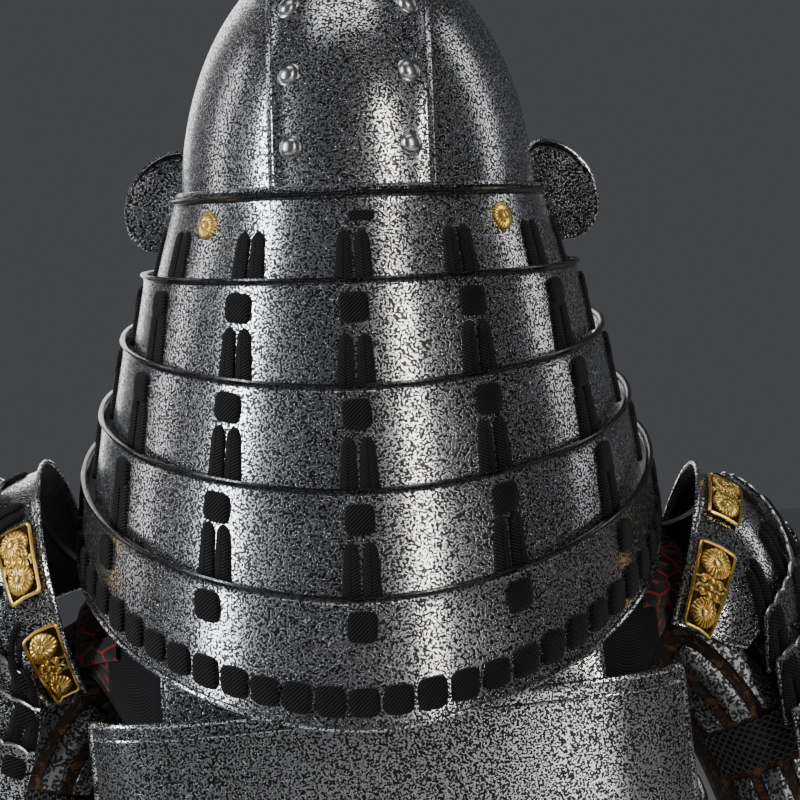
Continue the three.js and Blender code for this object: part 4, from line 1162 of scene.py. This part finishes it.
# %% [markdown]
# ## Gold mounts
# Each cap carries two gilt mounts: a framed strip with a fluted rosette at each end and
# raised scrolls between. The scrolls are a general vine of spirals and buds, laid as wires
# on a thin dark plate.

# %% Gold mounts
MOUNT_NEAR, MOUNT_WIDTH, MOUNT_LIFT, MOUNT_SPANS = 9, 23, 1.9, [(30, 62), (78, 116)]
STUD_INSET, STUD_ROOM = 11.0, 22  # stud centre, and the frame bar beside it, from a mount's end
CURL_Y, CURL_SIZE = 5.2, 4.3
CURL_BUD = [(1, 0.5), (0.9, 1.6), (0.5, 2.3), (0.1, 2.4)]
MIDDLE_BUD = [(1, 0.5), (0.9, 1.5), (0.5, 2.2), (0.1, 2.3)]
gilt_ground = bare_metal("gilt_ground", (0.06, 0.032, 0.008), 0.5, 2.0, 0.3)



def spiral(cx, cy, size, start, turns, hand):
    t = np.linspace(0, 1, 22)
    angle = start + hand * turns * 2 * math.pi * t
    r = size * (1 - 0.8 * t)
    return cx + r * np.cos(angle), cy + r * np.sin(angle)


for side, name in SIDES:
    surface = guard_surface(GUARD_TWIST * side)
    for number, (first, last) in enumerate(MOUNT_SPANS, 1):
        middle = (first + last) / 2
        across_speed = float(np.linalg.norm(slopes(surface, middle, MOUNT_NEAR + 10.0)[0]))
        half = (last - first) / 2 * across_speed
        spot = chart(surface, middle, MOUNT_NEAR + MOUNT_WIDTH / 2)
        lifted = moved(spot, lift=MOUNT_LIFT)
        wide = MOUNT_WIDTH / 2 - 0.6

        span = np.linspace(-wide, wide, 12)
        back_x, back_y = np.meshgrid(np.linspace(-half, half, 40), span, indexing="ij")
        ground = wall(lifted(back_x, back_y, 0.7 + 0 * back_x), lifted(back_x, back_y, -0.3 + 0 * back_x))
        shapes = [(ground, 1)]
        rim_x, rim_y = squarish(half, wide, power=14, count=96)
        sheet_top = as_surface(lifted)
        shapes.append((bead(sheet_top, rim_x, rim_y, 1.2, 1.0, True, 6), 0))
        for end in (-1, 1):
            stud = moved(lifted, end * (half - STUD_INSET), lift=0.8)
            shapes.append((rosette(stud, 9.4, 3.2, 20), 0))
            bar = end * (half - STUD_ROOM)
            shapes.append((bead(sheet_top, bar, span, 0.8, 1.0, False, 6), 0))
        room = max(half - STUD_ROOM, 4)
        for hand in (-1, 1):
            for place_x in np.linspace(-0.75, 0.75, max(2, round(room / 4))):
                way = hand * (1 if place_x > 0 else -1)
                centre = place_x * room, hand * CURL_Y
                curl = spiral(*centre, CURL_SIZE, hand * 1.2, 1.4, way)
                shapes.append((bead(sheet_top, *curl, 0.85, 1.3, False, 6), 0))
                bud = crowned(moved(lifted, *centre), squarish(1.9, 1.9, 2, 12), CURL_BUD)
                shapes.append((bud, 0))
        for x in np.linspace(-room, room, 3):
            bud = crowned(moved(lifted, x), squarish(2.2, 2.8, 2, 12), MIDDLE_BUD)
            shapes.append((bud, 0))
        piece(f"gilt_mount_{name}_{number}", shapes, [gold, gilt_ground],
              [f"gold_mount_{name}_{number}"], on_shoulder(side))

TIE_HALF, TIE_WALL, TIE_X, TIE_Z, TIE_SEAT, TIE_ROOM = 8, 2.4, 205, -68, 15, 1.1
for side, name in SIDES:
    seat = ridge_at(TIE_SEAT)
    turn = SHOULDER_LEAN * side
    strap_top = ARCH_FOOT + ARCH_RISE - (STRAP_OUTER - ARCH_FLAT) * ARCH_FALL
    start = np.array([STRAP_OUTER + SEAM, strap_top + SEAM + TIE_WALL])
    bend = np.array([TIE_X, TIE_Z])
    stop = np.array([seat[0] * math.cos(turn) + seat[1] * math.sin(turn),
                     -seat[0] * math.sin(turn) + seat[1] * math.cos(turn) - PLATE - TIE_ROOM])

    def tie_surface(f, y):
        g = np.clip(f, 0, 1)[..., None]
        point = start * (1 - g) ** 2 + bend * 2 * g * (1 - g) + stop * g * g
        return xyz(point[..., 0], -y, point[..., 1])

    tie = simple(tie_surface, np.linspace(0.02, 0.98, 40), -TIE_HALF, TIE_HALF, 9, -TIE_WALL, 0)
    piece(f"shoulder_tie_{name}", [(tie, 0)], [laces], [f"guard_tie_{name}"], mirror(side))
print("mounts and ties done")

# %% [markdown]
# ## Sleeves
# A sleeve is a brocade tube with armour sewn on: hammered splints side by side on the upper
# arm and forearm, a domed disc at the elbow, and patches of black mail that join them.

# %% Sleeves and hand guards
# Sleeve stations as (x, y, z, lean in degrees, half height, half depth)
SLEEVE = [(166, 0, -110, 28, 48, 50), (196, 0, -122, 46, 48, 47), (219, 0, -146, 62, 48, 46),
          (240, 0, -186, 71, 47, 46), (257, 0, -236, 72, 47, 47), (272, 2, -296, 74, 46, 48),
          (284, 2, -346, 78, 46, 47), (294, -8, -398, 81, 43, 45),
          (303, -24, -470, 84, 38, 40), (310, -42, -560, 86, 33, 34)]
sleeve_at = curve_through(SLEEVE, np.arange(len(SLEEVE), dtype=float))


def sleeve_surface(turn, station):
    turn, station = np.broadcast_arrays(np.asarray(turn, float), np.asarray(station, float))
    x, y, z, lean, h, d = np.moveaxis(sleeve_at(station), -1, 0)
    lean = np.radians(lean)
    high, deep = h * np.cos(np.radians(turn)), d * np.sin(np.radians(turn))
    return xyz(x + high * np.sin(lean), y + deep, z + high * np.cos(lean))


HAND_OVER, HAND_BEYOND, HAND_REACH, CUFF = 0.18, 1.0, 78, 9
# Splints as (angle, first station, last station) and mail bands as (first, last, half their spread)
UPPER_ARM = ((0.9, 2.7), (3.45, 5.0))
SPLINTS = [(angle, first, last) for first, last in UPPER_ARM for angle in range(-125, 150, 25)]
SPLINTS += [(angle, 6.8, 8.5) for angle in range(-80, 100, 20)]
SPLINT_PROFILE = [(1, 0.4), (1, 2.2), (0.93, 3.0), (0.5, 3.5), (0.02, 3.6)]
DISC_PROFILE = [(1, 0.5), (1, 3.2), (0.93, 4.4), (0.7, 6.6), (0.35, 8.2), (0.05, 8.6)]
MAIL_BANDS = ((2.76, 3.38, 140), (5.1, 5.6, 140), (6.2, 6.72, 100))
for side, name in SIDES:
    around = np.arange(0, 360, 4.0)
    steps = np.linspace(0, CUFF, 110)
    turn, station = np.meshgrid(around, steps, indexing="ij")
    crease = 0.8 * np.sin(station * 9 + 1.3 * np.sin(np.radians(turn * 2)))
    crease = crease * smooth((station - 5) / 1.2) * smooth((8.6 - station) / 1)
    skin = wall(lay(sleeve_surface, turn, station, crease),
                lay(sleeve_surface, turn, station, crease - CLOTH), True)
    cloth = [(skin, 0)]
    for end in (0.03, CUFF - 0.03):
        cloth.append((bead(sleeve_surface, around, end, 2.2, -CLOTH / 2, around=True), 1))
    shapes = []
    for angle, first, last in SPLINTS:
        middle = (first + last) / 2
        speed = float(np.linalg.norm(slopes(sleeve_surface, float(angle), middle)[1]))
        half = (last - first) / 2 * speed
        spot = chart(sleeve_surface, float(angle), middle)
        splint = crowned(spot, squarish(7.0, half, power=9, count=72), SPLINT_PROFILE)
        shapes.append((splint, 0))
    for first, last, spread in MAIL_BANDS:
        span = np.linspace(-spread, spread, 60)
        shapes.append((simple(sleeve_surface, span, first, last, 16, 0.2, 1.7), 1))
    disc = chart(sleeve_surface, 70.0, 5.9)
    shapes.append((crowned(disc, squarish(21, 21, 2, 48), DISC_PROFILE), 2))
    sleeve = piece(f"sleeve_cloth_{name}", cloth, [scrolls, black_twill], [f"sleeve_{name}"],
                   mirror(side))
    armed = piece(f"sleeve_splints_{name}", shapes, [hammered, ring_mail, iron], place=mirror(side))
    hand_columns = np.linspace(-HAND_REACH, HAND_REACH, 50)
    reach = CUFF + HAND_BEYOND * (0.6 + 0.4 * np.cos(np.radians(hand_columns)))
    start = CUFF - HAND_OVER
    hand = [(simple(sleeve_surface, hand_columns, start, reach, 14, LACE_LIFT, LACE_LIFT + PLATE), 0),
            (bead(sleeve_surface, hand_columns, reach, 1.7, LACE_LIFT + 1), 0),
            (bead(sleeve_surface, hand_columns, start, 1.5, LACE_LIFT + 1.2), 0),
            (rosette(chart(sleeve_surface, 0.0, CUFF + 0.45), 8, 5.5), 1)]
    piece(f"hand_plate_{name}", hand, [iron, gold], [f"hand_guard_{name}"], mirror(side))
print("sleeves", triangles["sleeve_cloth_left"], "triangles each")

# %% [markdown]
# ## Skirt
# Seven tassets of five lames hang from the waist. They are laced as the neck guard is, each
# lame standing out over the one above, with a row of knots along the last.

# %% Skirt of tassets
TASSET_COUNT, TASSET_TOP, TASSET_PITCH, TASSET_LAMES = 7, -412, 58, 5
TASSET_HALF, TASSET_STEP, TASSET_FLARE, TASSET_LIFT = 23.5, 3.4, 0.27, 1.75
SKIRT_BRAID, SKIRT_KNOT_HEIGHT = dict(height=1.8, gap=4.4, width0=7, width1=8), 2.6


def skirt_surface(turn, z):
    w, d, n = table_at(TORSO, np.maximum(z, WAIST))
    out = np.maximum(WAIST + 10 - z, 0) * TASSET_FLARE
    return squared(turn, w + out, d + out, n, z)


for number in range(TASSET_COUNT):
    middle = (number + 0.5) * 360 / TASSET_COUNT
    columns = np.linspace(middle - TASSET_HALF, middle + TASSET_HALF, 30)
    shapes = []
    for k in range(TASSET_LAMES):
        top = TASSET_TOP - TASSET_PITCH * k
        low = top - TASSET_PITCH - (6 if k < TASSET_LAMES - 1 else 0)
        near = TASSET_LIFT + TASSET_STEP * k
        shapes.append((simple(skirt_surface, columns, low, top, 8, near, near + PLATE + 0.4), 0))
        shapes.append((bead(skirt_surface, columns, top, 1.5, near + 1.6), 0))
        for share in (-0.72, 0, 0.72):
            turn = middle + share * TASSET_HALF
            if k < TASSET_LAMES - 1:
                spot = chart(skirt_surface, turn, TASSET_TOP - TASSET_PITCH * (k + 1.0))
                above = moved(spot, lift=near + PLATE)
                shapes += lace_pair(above, 22, -5, 1, **SKIRT_BRAID)
            if k:
                spot = chart(skirt_surface, turn, top - 13.0)
                shapes.append((knot(moved(spot, lift=near + PLATE), 6, 6.2, SKIRT_KNOT_HEIGHT), 1))
        if k == TASSET_LAMES - 1:
            shapes.append((bead(skirt_surface, columns, low, 1.5, near + 1.2), 0))
            for step in np.linspace(-0.9, 0.9, 9):
                spot = chart(skirt_surface, middle + step * TASSET_HALF, low + 14.0)
                shapes.append((knot(moved(spot, lift=near + PLATE), 6, 5.6, SKIRT_KNOT_HEIGHT), 1))
    piece(f"tasset_laced_{number + 1}", shapes, [iron, laces], [f"tasset_{number + 1}"])
print("tassets", triangles["tasset_laced_1"], "triangles each")

# %% [markdown]
# ## Thigh apron and shin guards
# The apron is brocade cloth that carries rows of small iron plates over the thigh. The shin
# guards are splints on a curved shell, so the shell's outer face is lifted in five ribs.

# %% Apron and shin guards
LEG_X, LEG_Y = 126, 6
APRON_TOP, APRON_LOW, APRON_RADIUS, APRON_INNER, APRON_OUTER, APRON_INSET = -420, -935, 92, 8, 92, 1.2
SHIN_TABLE = [(-905, 84.4), (-968, 72), (-1078, 62), (-1325, 46)]
SHIN_TOP, SHIN_LOW, SHIN_REACH = -905, -1325, 84
RIB_HEIGHT, RIB_COUNT, SHIN_STRAPS = 3.6, 5, (-1040, -1210)
SCALE_ROWS, SCALE_COLUMNS, SCALE_START, SCALE_PITCH = 6, 9, (-18.0, -735.0), (8.0, 34.0)
SCALE_PROFILE = [(1, 0.2), (1, 1.4), (0.9, 2.0), (0.4, 2.3), (0.02, 2.3)]


def apron_surface(turn, z):
    turn, z = np.broadcast_arrays(np.asarray(turn, float), np.asarray(z, float))
    out = -turn
    waist = torso_surface(180 - out, WAIST + 0 * z)
    wrap = np.radians(lerp(-100, 118, (out - APRON_INNER) / (APRON_OUTER - APRON_INNER)))
    f = smooth((WAIST - 20 - z) / (WAIST - 20 - (APRON_LOW + 190)))
    x, y = LEG_X + APRON_RADIUS * np.sin(wrap), LEG_Y - APRON_RADIUS * np.cos(wrap)
    return xyz(lerp(waist[..., 0], x, f), lerp(waist[..., 1], y, f), z)


def shin_surface(turn, z):
    radius = table_at(SHIN_TABLE, z)[0]
    return xyz(LEG_X - radius * np.sin(np.radians(turn)), LEG_Y - radius * np.cos(np.radians(turn)), z)


for side, name in SIDES:
    off = -CUIRASS_WALL - APRON_INSET
    columns = np.linspace(-APRON_OUTER, -APRON_INNER, 70)
    shapes = [(simple(apron_surface, columns, APRON_TOP, APRON_LOW, 70, off - CLOTH, off), 0)]
    run = np.linspace(APRON_TOP, APRON_LOW, 60)
    edges = [(columns, APRON_LOW), (-APRON_OUTER, run), (-APRON_INNER, run)]
    shapes += wires(apron_surface, edges, 2.0, off - CLOTH / 2, 1)
    plates = []
    for row in range(SCALE_ROWS):
        for column in range(SCALE_COLUMNS):
            spot = chart(apron_surface, SCALE_START[0] - column * SCALE_PITCH[0],
                         SCALE_START[1] - row * SCALE_PITCH[1])
            plates.append((crowned(moved(spot, lift=off), squarish(8.2, 13.5, 8, 32), SCALE_PROFILE), 0))
    apron = piece(f"apron_cloth_{name}", shapes, [scrolls, black_twill], [f"apron_{name}"],
                  mirror(side))
    scales = piece(f"apron_plates_{name}", plates, [hammered], place=mirror(side))
    turn, z = np.meshgrid(np.linspace(-SHIN_REACH, SHIN_REACH, 100),
                          np.linspace(SHIN_TOP, SHIN_LOW, 50), indexing="ij")
    rib = RIB_HEIGHT * np.abs(np.cos(np.radians(turn / SHIN_REACH * 90 * RIB_COUNT))) ** 0.5
    rib = rib * smooth((-985 - z) / 12) * smooth((z + 1318) / 10)
    shell = wall(lay(shin_surface, turn, z, rib), lay(shin_surface, turn, z, -PLATE + 0 * rib))
    shapes = [(shell, 0)]
    edge = np.linspace(-SHIN_REACH, SHIN_REACH, 60)
    run = np.linspace(SHIN_TOP, SHIN_LOW, 60)
    shapes += wires(shin_surface, [(edge, level_z) for level_z in (SHIN_TOP, -980, SHIN_LOW)], 1.7, 0)
    shapes += wires(shin_surface, [(-SHIN_REACH, run), (SHIN_REACH, run)], 1.6, -PLATE / 2)
    span = np.linspace(-SHIN_REACH, SHIN_REACH, 80)
    for level_z in SHIN_STRAPS:
        shapes.append((simple(shin_surface, span, level_z - 9, level_z + 9, 5, 0.5, 5.0), 1))
    piece(f"shin_shell_{name}", shapes, [iron, laces], [f"shin_guard_{name}"], mirror(side))
print("legs", triangles["apron_cloth_left"], triangles["shin_shell_left"])

# %% [markdown]
# ## Light and floor
# Glossy lacquer shows what is around it, so two tall soft boxes, one well out to the left and
# one behind the camera to the right, draw the long highlights down the plates. The
# surroundings stay dim, and the floor is a plain pale sheet.

# %% Light and floor
def softbox(name, place, aim, width, height, power, tint=(1, 1, 1)):
    lamp = bpy.data.lights.new(name, "AREA")
    lamp.shape, lamp.size, lamp.size_y, lamp.energy, lamp.color = "RECTANGLE", width, height, power, tint
    obj = bpy.data.objects.new(name, lamp)
    heading = np.array(aim, float) - np.array(place, float)
    obj.location = place
    obj.rotation_euler = Vector(heading).to_track_quat("-Z", "Y").to_euler()
    bpy.context.scene.collection.objects.link(obj)


softbox("key_left", (2.25, 1.25, 0.9), (0, 0, 0.0), 0.44, 1.8, 62, (0.93, 0.97, 1.0))
softbox("key_right", (-1.1, 2.3, 0.7), (0, 0, 0.0), 0.22, 1.8, 25, (1.0, 0.95, 0.88))
softbox("top", (0, 0.6, 2.4), (0, 0, 0), 1.4, 0.8, 9)
softbox("low_back", (-0.5, 1.9, -0.62), (0, 0.15, -0.2), 0.6, 0.4, 2.2, (1.0, 0.97, 0.93))
softbox("front_fill", (0.8, -2.6, 0.8), (0, 0, -0.4), 1.6, 2.4, 36)
softbox("rim_right", (-2.2, -0.6, 0.9), (0, 0, 0), 0.5, 1.8, 6)
softbox("rim_left", (2.2, -0.6, 0.9), (0, 0, 0), 0.5, 1.8, 6)
world = bpy.data.worlds.new("studio")
world.use_nodes = True
world.node_tree.nodes["Background"].inputs["Color"].default_value = (0.62, 0.64, 0.68, 1)
world.node_tree.nodes["Background"].inputs["Strength"].default_value = 0.10
bpy.context.scene.world = world

FLOOR_Z, FLOOR_HALF = -1.3275, 9.0
floor_mesh = bpy.data.meshes.new("floor")
corners = [(x * FLOOR_HALF, y * FLOOR_HALF) for x, y in ((-1, -1), (1, -1), (1, 1), (-1, 1))]
floor_mesh.from_pydata([(x, y, FLOOR_Z) for x, y in corners], [], [(0, 1, 2, 3)])
floor = bpy.data.objects.new("floor", floor_mesh)
floor_paint = Paint("floor_paper", Roughness=0.8)
clouds = floor_paint.noise(floor_paint.place(), 400)
floor_paint.set("Base Color", floor_paint.mix(clouds, (0.62, 0.62, 0.61), (0.68, 0.68, 0.67)))
floor_mesh.materials.append(floor_paint.material)
bpy.context.scene.collection.objects.link(floor)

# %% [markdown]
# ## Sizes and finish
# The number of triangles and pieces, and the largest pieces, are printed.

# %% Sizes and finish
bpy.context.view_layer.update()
print("triangles", sum(triangles.values()), "pieces", len(triangles))
print("largest", sorted(triangles.items(), key=lambda item: -item[1])[:4])
